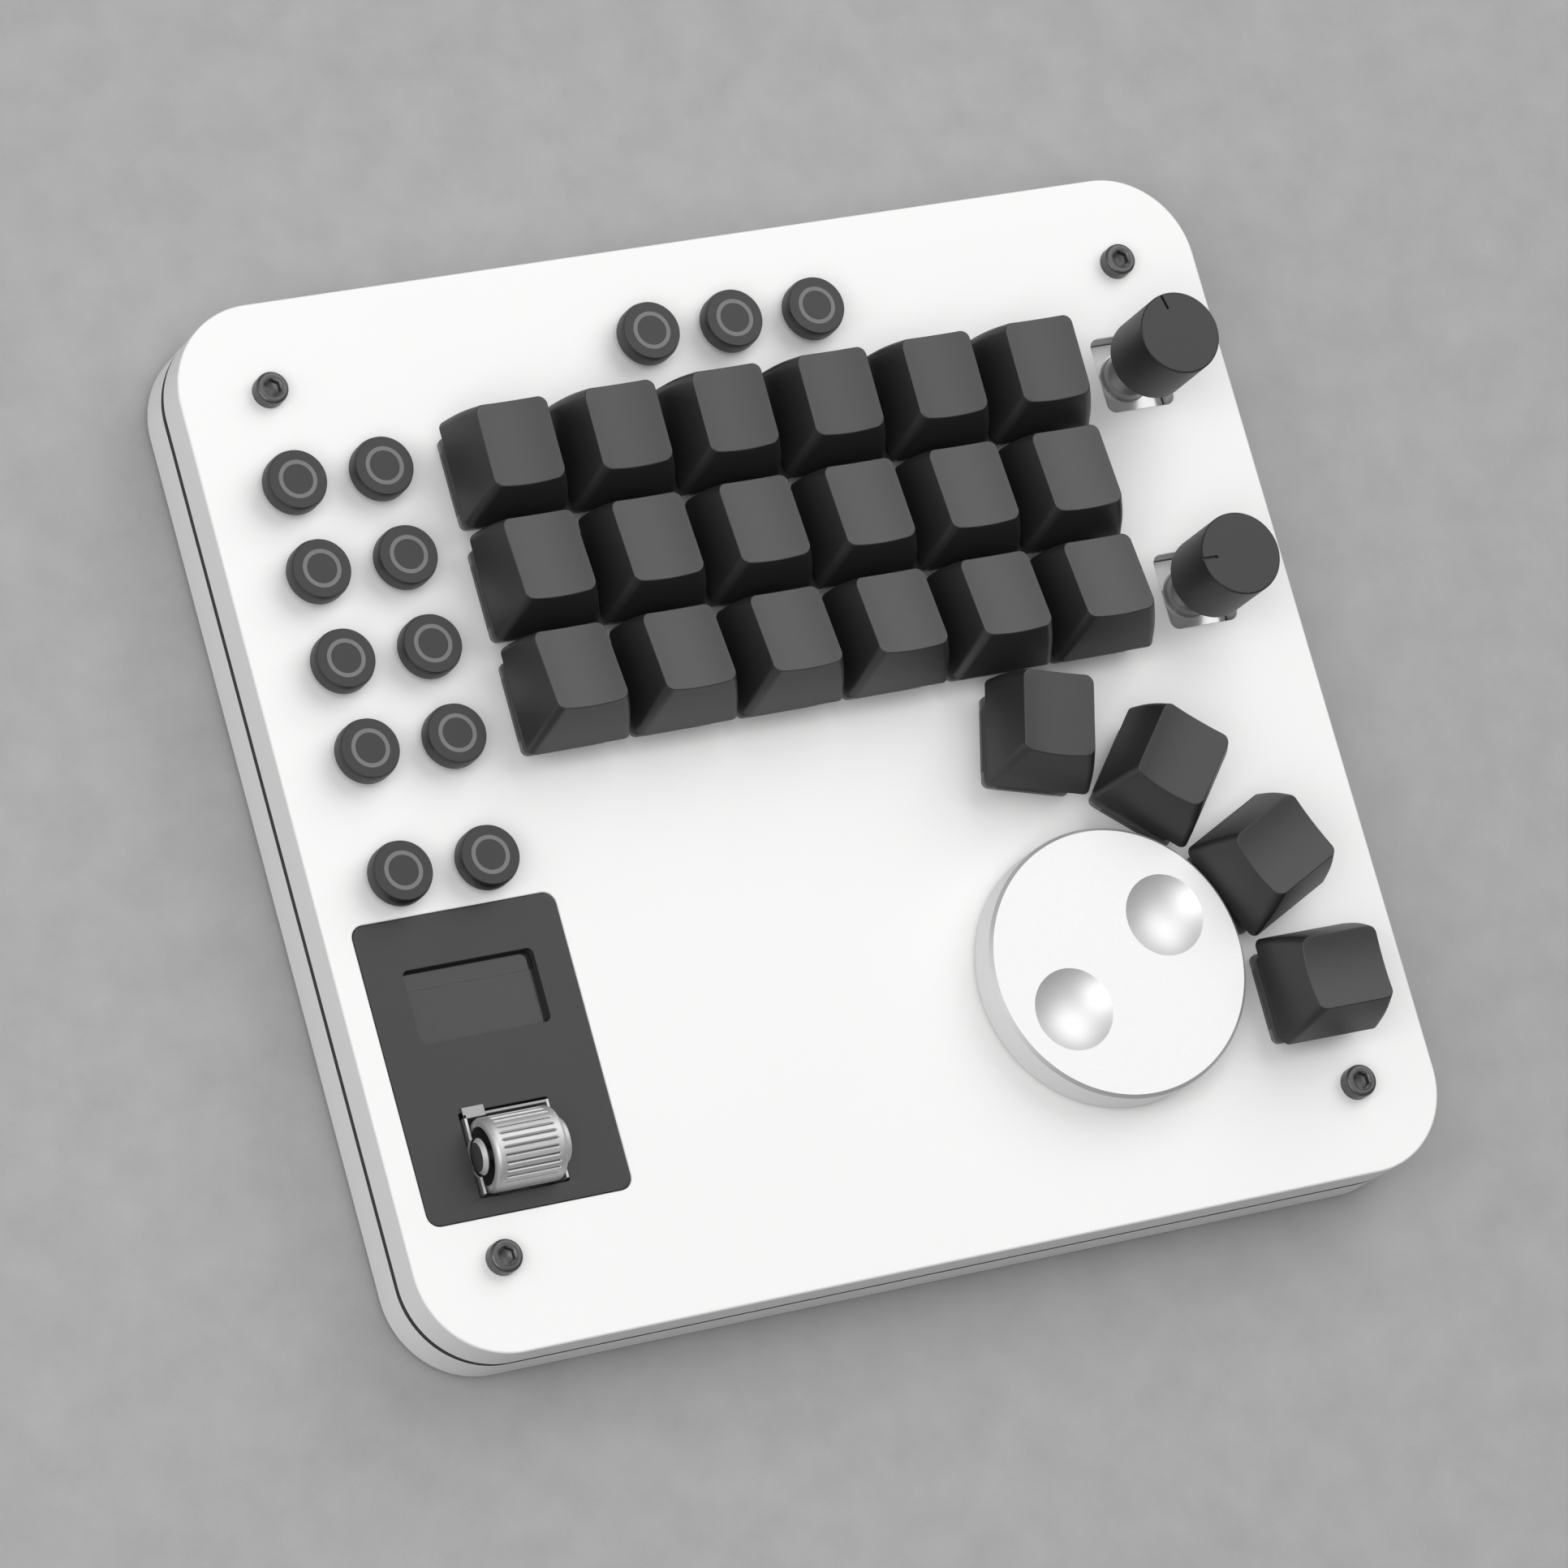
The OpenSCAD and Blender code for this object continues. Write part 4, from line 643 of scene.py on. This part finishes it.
def cap_skin(row):
    """Up the side, over the rounded edge and across the dish; then the hollow, the stem and the slider"""
    skin = Skin()

    def around(t, inset):
        return [cap_point(row, t, spot, inset) for spot in SPOTS]

    tops = [top_share(row, spot) for spot in SPOTS]
    levels = [[cap_point(row, t * k / SIDE_STEPS * SIDE_SHARE, spot) for t, spot in zip(tops, SPOTS)]
              for k in range(SIDE_STEPS + 1)]
    rim = [cap_point(row, t, spot) for t, spot in zip(tops, SPOTS)]
    down = [(a - b).normalized() for a, b in zip(levels[-1], rim)]
    inward = []
    for i, p in enumerate(rim):
        along = (rim[(i + 1) % len(rim)] - rim[i - 1]).normalized()
        q = p + Vector((-along.y, along.x, 0)).normalized() * SLOPE_STEP
        q.z = dish_z(row, q.x, q.y)
        inward.append((q - p).normalized())
    rings = [skin.ring(around(0, RIM_EDGE), CAP_LIFT),
             skin.ring([p + Vector((0, 0, RIM_EDGE)) for p in levels[0]])]
    rings += [skin.ring(level) for level in levels[1:]]
    for k in range(EDGE_STEPS + 1):
        t = k / EDGE_STEPS
        rings.append(skin.ring([p + w * CAP_EDGE * (1 - t) ** 2 + u * CAP_EDGE * t ** 2
                                for p, w, u in zip(rim, down, inward)]))
    centre = Vector((0, (FRONT_INSET[row] - BACK_INSET[row]) / 2, 0))
    start = [Vector(skin.points[i]) for i in rings[-1]]
    for k in range(1, DISH_STEPS):
        level = [centre + (p - centre) * (1 - k / DISH_STEPS) for p in start]
        rings.append(skin.ring([(q.x, q.y, dish_z(row, q.x, q.y)) for q in level]))
    for a, b in zip(rings, rings[1:]):
        skin.band(a, b)
    skin.fan(rings[-1])
    drop = Vector((0, 0, DISH + CAP_TOP_T))
    inner_rim = skin.ring(around(0, CAP_WALL), CAP_LIFT)
    ceiling = skin.ring([p - drop for p in around(1, CAP_WALL)])
    skin.band(rings[0], inner_rim)
    skin.band(inner_rim, ceiling)
    skin.fan(ceiling)
    low, top = SWITCH_H + STEM_GAP, min(FRONT_H[row], BACK_H[row]) - DISH - STEM_SHORT
    skin.lathe([(0, low), (STEM_D / 2, low), (STEM_D / 2, top), (0, top)], 32)
    skin.box((-SLIDER_W / 2, -SLIDER_D / 2, 0), (SLIDER_W / 2, SLIDER_D / 2, SWITCH_H), SLIDER_EDGE, mark=1)
    return skin


def switch_skin():
    """Body, clear flange (mark 1) with a dark bar along each side, tapered housing and post"""
    skin = Skin()
    skin.slab(plate(SWITCH_W, SWITCH_W, SWITCH_R, n=3), -PCB_DROP, 0.0, SWITCH_EDGE)
    skin.slab(plate(FLANGE_W, FLANGE_D, FLANGE_R, n=6), 0.0, FLANGE_T, FLANGE_EDGE, mark=1)
    for quarter in range(4):
        across, along = (FLANGE_D, FLANGE_W) if quarter % 2 else (FLANGE_W, FLANGE_D)
        bar = Skin()
        bar.box((across / 2 - BAR_W, BAR_END - along / 2, BAR_PROUD),
                (across / 2 + BAR_PROUD, along / 2 - BAR_END, FLANGE_T + BAR_PROUD), BAR_EDGE)
        skin.add(bar, place(0, 0, 0, 90 * quarter))
    for ring in skin.chain([(rounded(w, d, r, n=3), z) for w, d, r, z in HOUSING]):
        skin.fill(ring)
    end, root = -PCB_DROP - POST_LEN, -PCB_DROP + POST_ROOT
    skin.lathe([(0, end), (POST_D / 2 - POST_EDGE, end), (POST_D / 2, end + POST_EDGE), (POST_D / 2, root),
                (0, root)], 24)
    return skin


caps = [cap_skin(row) for row in range(3)]
switches, switch = Skin(), switch_skin()
for name, (x, y, turn, row) in KEYS.items():
    skin = Skin()
    skin.add(caps[row], place(x, y, PLATE_Z, turn))
    # the fan caps take the duller copy of the keycap plastic, their painted shade
    finish = KEYCAP_FAN_SHADED if "fan" in name else KEYCAP
    piece(name.replace("key", "keycap"), skin, [finish, SWITCH], name + "_body", [name])
    switches.add(switch, place(x, y, PLATE_Z, turn))
piece("key_switches", switches, [SWITCH, SWITCH_CLEAR], "root", ["switch_housings"])


# Push buttons

def button_skin():
    """The cap with its printed ring (mark 1), and the plunger"""
    skin, r, low, top = Skin(), BUTTON_D / 2, BUTTON_LIFT, BUTTON_LIFT + BUTTON_H
    shoulder = top - BUTTON_SHOULDER
    ceiling = shoulder - BUTTON_RIM
    skin.lathe(
        [(0, low + TIP_HOLE_H), (TIP_HOLE_D / 2, low + TIP_HOLE_H), (TIP_HOLE_D / 2, low + TIP_HOLE_LOW),
         (BUTTON_POST_D / 2, low + TIP_HOLE_LOW), (BUTTON_POST_D / 2, ceiling), (r - BUTTON_WALL, ceiling),
         (r - BUTTON_WALL, low + BUTTON_RIM), (r - BUTTON_WALL + BUTTON_RIM, low), (r - BUTTON_RIM, low),
         (r, low + BUTTON_RIM), (r, shoulder)]
        + [(r - BUTTON_TAPER - inset, top - drop) for inset, drop in BUTTON_EDGE]
        + [(RING_OUT, top, 1), (RING_IN, top), (FACE_R, top), (0, top)], 72)
    skin.lathe([(0, PLUNGER_LOW), (PLUNGER_D / 2 - PLUNGER_EDGE, PLUNGER_LOW),
                (PLUNGER_D / 2, PLUNGER_LOW + PLUNGER_EDGE), (PLUNGER_D / 2, low), (TIP_D / 2, low),
                (TIP_D / 2, low + TIP_H), (0, low + TIP_H)], 32)
    return skin


button = button_skin()
for i, (x, y) in enumerate(BUTTONS, 1):
    skin = Skin()
    skin.add(button, place(x, y, PLATE_Z))
    piece(f"push_button_{i}", skin, [BUTTON, PRINT], f"button_{i}_body", [f"button_{i}"])


# Jog wheel

def wheel_skin():
    """Marks: 0 the top and the underside, 1 the dimples, 2 the cut edge, 3 the side, whose brushed aluminium
    is set darker than the top's as painted shade
    """
    skin, r, top = Skin(), JOG_D / 2, JOG_H
    steps = [(r - JOG_CHAMFER, top, 2), (r, top - JOG_CHAMFER, 3), (r, JOG_LOW_EDGE, 3),
             (r - JOG_LOW_EDGE, 0, 0), (JOG_BORE_D / 2, 0, 0), (JOG_BORE_D / 2, JOG_BORE_H, 0)]
    rings = [skin.ring(circle(q, 192), z) for q, z, _ in steps]
    for a, b, (_, _, mark) in zip(rings, rings[1:], steps):
        skin.band(a, b, mark)
    skin.fan(rings[-1])
    half = DIMPLE_D / 2
    ball = (half * half + DIMPLE_DEPTH ** 2) / (2 * DIMPLE_DEPTH)
    rims = []
    for angle in (DIMPLE_ANGLE, DIMPLE_ANGLE + 180):
        at = (DIMPLE_R * math.cos(math.radians(angle)), DIMPLE_R * math.sin(math.radians(angle)))
        last = skin.ring(circle(half, 72, at), top)
        rims.append(last)
        for k in range(1, DIMPLE_STEPS):
            q = half * (1 - k / DIMPLE_STEPS)
            ring = skin.ring(circle(q, 72, at), top + ball - DIMPLE_DEPTH - math.sqrt(ball * ball - q * q))
            skin.band(last, ring, 1)
            last = ring
        skin.fan(last, 1)
    skin.fill(rings[0], rims)
    return skin


wheel = wheel_skin()
wheel.move(place(*JOG, PLATE_Z + JOG_LIFT))
piece("jog_wheel_turned", wheel, [WHEEL, DIMPLE, WHEEL_CUT, WHEEL_SIDE_PAINTED_SHADE], "jog", ["jog_wheel"])


# Knobs and their encoders

def d_outline(r, flat):
    a = math.degrees(math.acos((r - flat) / r))
    return arc(0, 0, r, a, 360 - 2 * a, 40)


def knob_skin():
    skin, r = Skin(), KNOB_D / 2
    edge = [(r - KNOB_EDGE + KNOB_EDGE * math.sin(a), KNOB_H - KNOB_EDGE + KNOB_EDGE * math.cos(a))
            for a in [math.radians(90 - 22.5 * i) for i in range(5)]]
    skin.lathe([(0, 0), (r - KNOB_BASE, 0), (r - KNOB_LOW_EDGE, 0), (r, KNOB_LOW_EDGE), *edge, (0, KNOB_H)],
               128)
    return skin


for i, (x, y) in enumerate(KNOBS):
    body, spot = f"knob_{i + 1}_body", place(x, y, PLATE_Z + KNOB_LIFT[i], NOTCH_ANGLE[i])
    cap, notch, shaft = knob_skin(), Skin(), Skin()
    cap.move(spot)
    knob = piece(f"knob_{i + 1}_cap", cap, [KNOB], body, [f"knob_{i + 1}"])
    notch.box((KNOB_D * NOTCH_START, -NOTCH_W / 2, KNOB_H - NOTCH_W),
              (KNOB_D, NOTCH_W / 2, KNOB_H + NOTCH_OVER))
    notch.move(spot)
    carve(knob, notch)
    outline = d_outline(SHAFT_D / 2, SHAFT_FLAT)
    root = ENCODER_Z - ENCODER_H + SHAFT_ROOT
    for ring in shaft.chain([(outline, root), (outline, ENCODER_Z + SHAFT_REACH)]):
        shaft.fill(ring)
    shaft.move(place(x, y, 0, NOTCH_ANGLE[i]))
    piece(f"knob_{i + 1}_shaft", shaft, [SPINDLE], body, ())


def encoder_skin():
    """Marks: 0 the cover plate and the flat ends, 1 the base, 2 the sides of the collar and the bushing"""
    skin = Skin()
    skin.box((-ENCODER_W / 2, -ENCODER_D / 2, -ENCODER_H), (ENCODER_W / 2, ENCODER_D / 2 + ENCODER_BACK, 0),
             ENCODER_EDGE, mark=1)
    w, d, fillet_y = ENCODER_W / 2 - COVER_INSET, ENCODER_D / 2 - COVER_INSET, COVER_Y + COVER_FILLET
    fillet_x = math.sqrt((COVER_R + COVER_FILLET) ** 2 - fillet_y ** 2)
    a = math.degrees(math.asin(fillet_y / (COVER_R + COVER_FILLET)))
    cover = ([(-w, -d), (w, -d), (w, COVER_Y)] + arc(fillet_x, fillet_y, COVER_FILLET, 270, a - 90, 5)
             + arc(0, 0, COVER_R, a, 180 - 2 * a, 40)
             + arc(-fillet_x, fillet_y, COVER_FILLET, -a, a - 90, 5) + [(-w, COVER_Y)])
    for ring in skin.chain([(cover, z) for z in COVER_Z]):
        skin.fill(ring)
    r = COLLAR_D / 2
    skin.lathe([(0, COLLAR_ROOT), (r, COLLAR_ROOT), (r, COLLAR_H - COLLAR_EDGE), (r - COLLAR_EDGE, COLLAR_H),
                (0, COLLAR_H)], 64, sides=2)
    r, core, z = BUSH_D / 2, BUSH_D / 2 - THREAD_DEPTH, COLLAR_H + THREAD_START
    thread = [(0, BUSH_ROOT), (r - THREAD_RISE, BUSH_ROOT)]
    while z < BUSH_H - THREAD_END:
        thread += [(core, z), (r, z + THREAD_RISE), (r, z + THREAD_CREST), (core, z + THREAD_FALL)]
        z += THREAD_PITCH
    hole = SHAFT_D / 2 + SHAFT_GAP
    thread += [(core, BUSH_H - BUSH_EDGE), (r - BUSH_TOP_INSET, BUSH_H), (hole, BUSH_H),
               (hole, BUSH_H - BUSH_HOLE_H), (0, BUSH_H - BUSH_HOLE_H)]
    skin.lathe(thread, 56, sides=2)
    return skin


bodies, encoder = Skin(), encoder_skin()
for p in KNOBS:
    bodies.add(encoder, place(*p, ENCODER_Z))
piece("encoders", bodies, [ENCODER, ENCODER_BASE, ENCODER_COLLAR], "root", ["encoder_bodies"])


# Panel and display

skin = Skin()
top = PLATE_Z - PANEL_SINK
ends = []
# The outline's edge is rounded inward, and the edges of the two openings outward
for shape, way in ((plate(PANEL_W, PANEL_D, PANEL_R, (PANEL_X, PANEL_Y)), -1),
                   (plate(*WINDOW, (WINDOW_X, WINDOW_Y)), 1),
                   (plate(*ROLLER_HOLE, (ROLLER_HOLE_X, ROLLER_HOLE_Y)), 1)):
    ends.append(skin.chain([(shape(way * inset), top - drop) for inset, drop in PANEL_EDGE]
                           + [(shape(0), top - PANEL_T)]))
for outer, *holes in zip(*ends):
    skin.fill(outer, holes)
piece("panel", skin, [BEZEL], "root", ["display_bezel"])

skin = Skin()
under, back = PLATE_Z - PANEL_SINK - PANEL_T, PLATE_Z - PANEL_SINK - PANEL_T - GLASS_T
skin.slab(plate(*GLASS, (WINDOW_X, WINDOW_Y), 2), back, under - FILM_Z[0], GLASS_EDGE)
skin.slab(plate(*FILM_SHEET, (WINDOW_X + FILM_X, WINDOW_Y + FILM_Y), 2), under - FILM_Z[0], under - FILM_Z[1],
          FILM_EDGE, mark=1)
skin.slab(plate(*CARRIER, (WINDOW_X, WINDOW_Y + CARRIER_Y), 4), back - CARRIER_T, back, mark=2)
piece("display", skin, [GLASS_DARK, FILM, BOARD], "root", ["display_module"])


# Roller and axle, built along +Z and laid along +X

AXLE = Matrix.Translation((0, AXLE_Y, AXLE_Z)) @ Matrix.Rotation(math.radians(90), 4, "Y")


def roller_skin():
    """Rings from the cup's end over the outside to the other end, and back through the bore and the cup.
    Marks: 0 the metal, 1 the floors of the grooves, 2 the inside of the cup. Marks 1 and 2 are painted near
    black as painted shade in these hollows."""
    skin, r, length = Skin(), ROLLER_D / 2, ROLLER_LEN
    pitch = 360 // GROOVES
    n = GROOVES * pitch
    ends = (length - GROOVE_LEN) / 2
    left_z = [ends + step for step in GROOVE_END_STEPS]
    levels = left_z + [length / 2] + [length - z for z in reversed(left_z)]

    def radius(k, z):
        """The roller's radius at k degrees: a groove has sloping sides and round ends"""
        if z < ends or z > length - ends:
            return r
        turn = (k - GROOVE_TURN) % pitch
        away = math.radians(min(turn, pitch - turn)) * r
        end, half = min(z - ends, length - ends - z), GROOVE_W / 2
        near = half if end > half else math.sqrt(max(0.0, half * half - (half - end) ** 2))
        return r - GROOVE_DEPTH * max(0.0, min(1.0, (near + GROOVE_SOFT - away) / GROOVE_SIDE))

    def ring(radii, z):
        return skin.ring([(q * math.cos(TAU * k / n), q * math.sin(TAU * k / n), z)
                          for k, q in enumerate(radii)])

    def is_deep(corners):
        return all(math.hypot(*skin.points[k][:2]) < r - GROOVE_DEPTH * GROOVE_FLOOR for k in corners)

    shoulder = [(r - ROLLER_EDGE + ROLLER_EDGE * math.sin(a), ROLLER_EDGE - ROLLER_EDGE * math.cos(a))
                for a in [math.radians(15 * k) for k in range(7)]]
    bore, wall = AXLE_D / 2 + AXLE_GAP, r - CUP_WALL
    grooved = [ring([radius(k, z) for k in range(n)], z) for z in levels]
    cup = [ring([q] * n, z) for q, z in ((bore, CUP_DEPTH), (wall, CUP_DEPTH), (wall, CUP_EDGE[1]))]
    rings = ([ring([q] * n, z) for q, z in shoulder] + grooved
             + [ring([q] * n, length - z) for q, z in reversed(shoulder)]
             + [ring([bore] * n, length), *cup, ring([wall + CUP_EDGE[0]] * n, 0.0)])
    # the cup's inside takes mark 2, the steel painted dark as shade
    for a, b in zip(rings, rings[1:] + rings[:1]):
        skin.band(a, b, 2 if a in cup and b in cup else 0)
        # faces deep in a groove take mark 1, the groove's painted shade
        if a in grooved and b in grooved:
            skin.marks[-n:] = [1 if is_deep(corners) else 0 for corners in skin.faces[-n:]]
    return skin


skin = roller_skin()
skin.move(AXLE @ Matrix.Translation((0, 0, ROLLER_X - ROLLER_LEN / 2)))
piece("roller_grooved", skin, [ROLLER, GROOVE_PAINTED_SHADE, STEEL_PAINTED_SHADE], "roller_body", ["roller"])

skin = Skin()
left, right = DISC_T[0] - ARM_X, ARM_X - DISC_T[1]
r_left, r_right = DISC_D[0] / 2, DISC_D[1] / 2
# The left disc's outer face and the axle between the discs (mark 1) take the steel painted dark as shade
skin.lathe([(0, -ARM_X), (r_left - DISC_BEVEL, -ARM_X), (r_left, DISC_BEVEL - ARM_X),
            (r_left, left - DISC_EDGE), (r_left - DISC_EDGE, left), (AXLE_D / 2, left, 1),
            (AXLE_D / 2, right), (r_right - DISC_EDGE, right), (r_right, right + DISC_EDGE),
            (r_right, ARM_X - DISC_END), (r_right - DISC_END, ARM_X), (0, ARM_X)], 64, ends=(1, 0))
skin.move(AXLE @ Matrix.Translation((0, 0, BRACKET_X)))
piece("roller_axle", skin, [PALE_STEEL_AND_HIGHLIGHT, STEEL_PAINTED_SHADE], "roller_carrier_body", ["roller_carrier"])


def bracket_skin():
    """Two arms with a notch for the axle's discs, joined by a bar at the back, and a tab. Mark 1 is the arms'
    edges, in a paler steel that is a painted highlight"""
    skin, low, top = Skin(), PLATE_Z - PCB_DROP, PLATE_Z + ARM_TOP
    left, right, (front, back) = BRACKET_X - ARM_X, BRACKET_X + ARM_X, ARM_Y
    axle_z = AXLE_Z - ROLLER_TRAVEL

    def close(a, b, mark):
        skin.band(a, b, mark)
        skin.face(a)
        skin.face(b)

    for x, d in ((left, DISC_D[0]), (right - SHEET, DISC_D[1])):
        r = d / 2 + ARM_GAP
        start = math.degrees(math.asin(min(1, max(-1, (top - axle_z) / r))))
        notch = arc(AXLE_Y, axle_z, r, 180 - start, 180 + 2 * start, 24)
        outline = [(front, low), (back, low), (back, top), *reversed(notch), (front, top)]
        # the arms' edges take mark 1, the paler steel painted as a highlight
        close(*[skin.ring([(x + across, y, z) for y, z in outline]) for across in (0, SHEET)], 1)
    for lo, hi in (((left, back - SHEET, low), (right, back, top - BACK_BAR_DROP)),
                   ((left, back + TAB_Y[0], PLATE_Z), (left + TAB_LEN + SHEET, back + TAB_Y[1], top))):
        corners = [(lo[0], lo[1]), (hi[0], lo[1]), (hi[0], hi[1]), (lo[0], hi[1])]
        close(skin.ring(corners, lo[2]), skin.ring(corners, hi[2]), 0)
    return skin


piece("bracket", bracket_skin(), [BRACKET, PALE_STEEL_AND_HIGHLIGHT], "root", ["roller_bracket"],
      bevel=SHEET_EDGE)
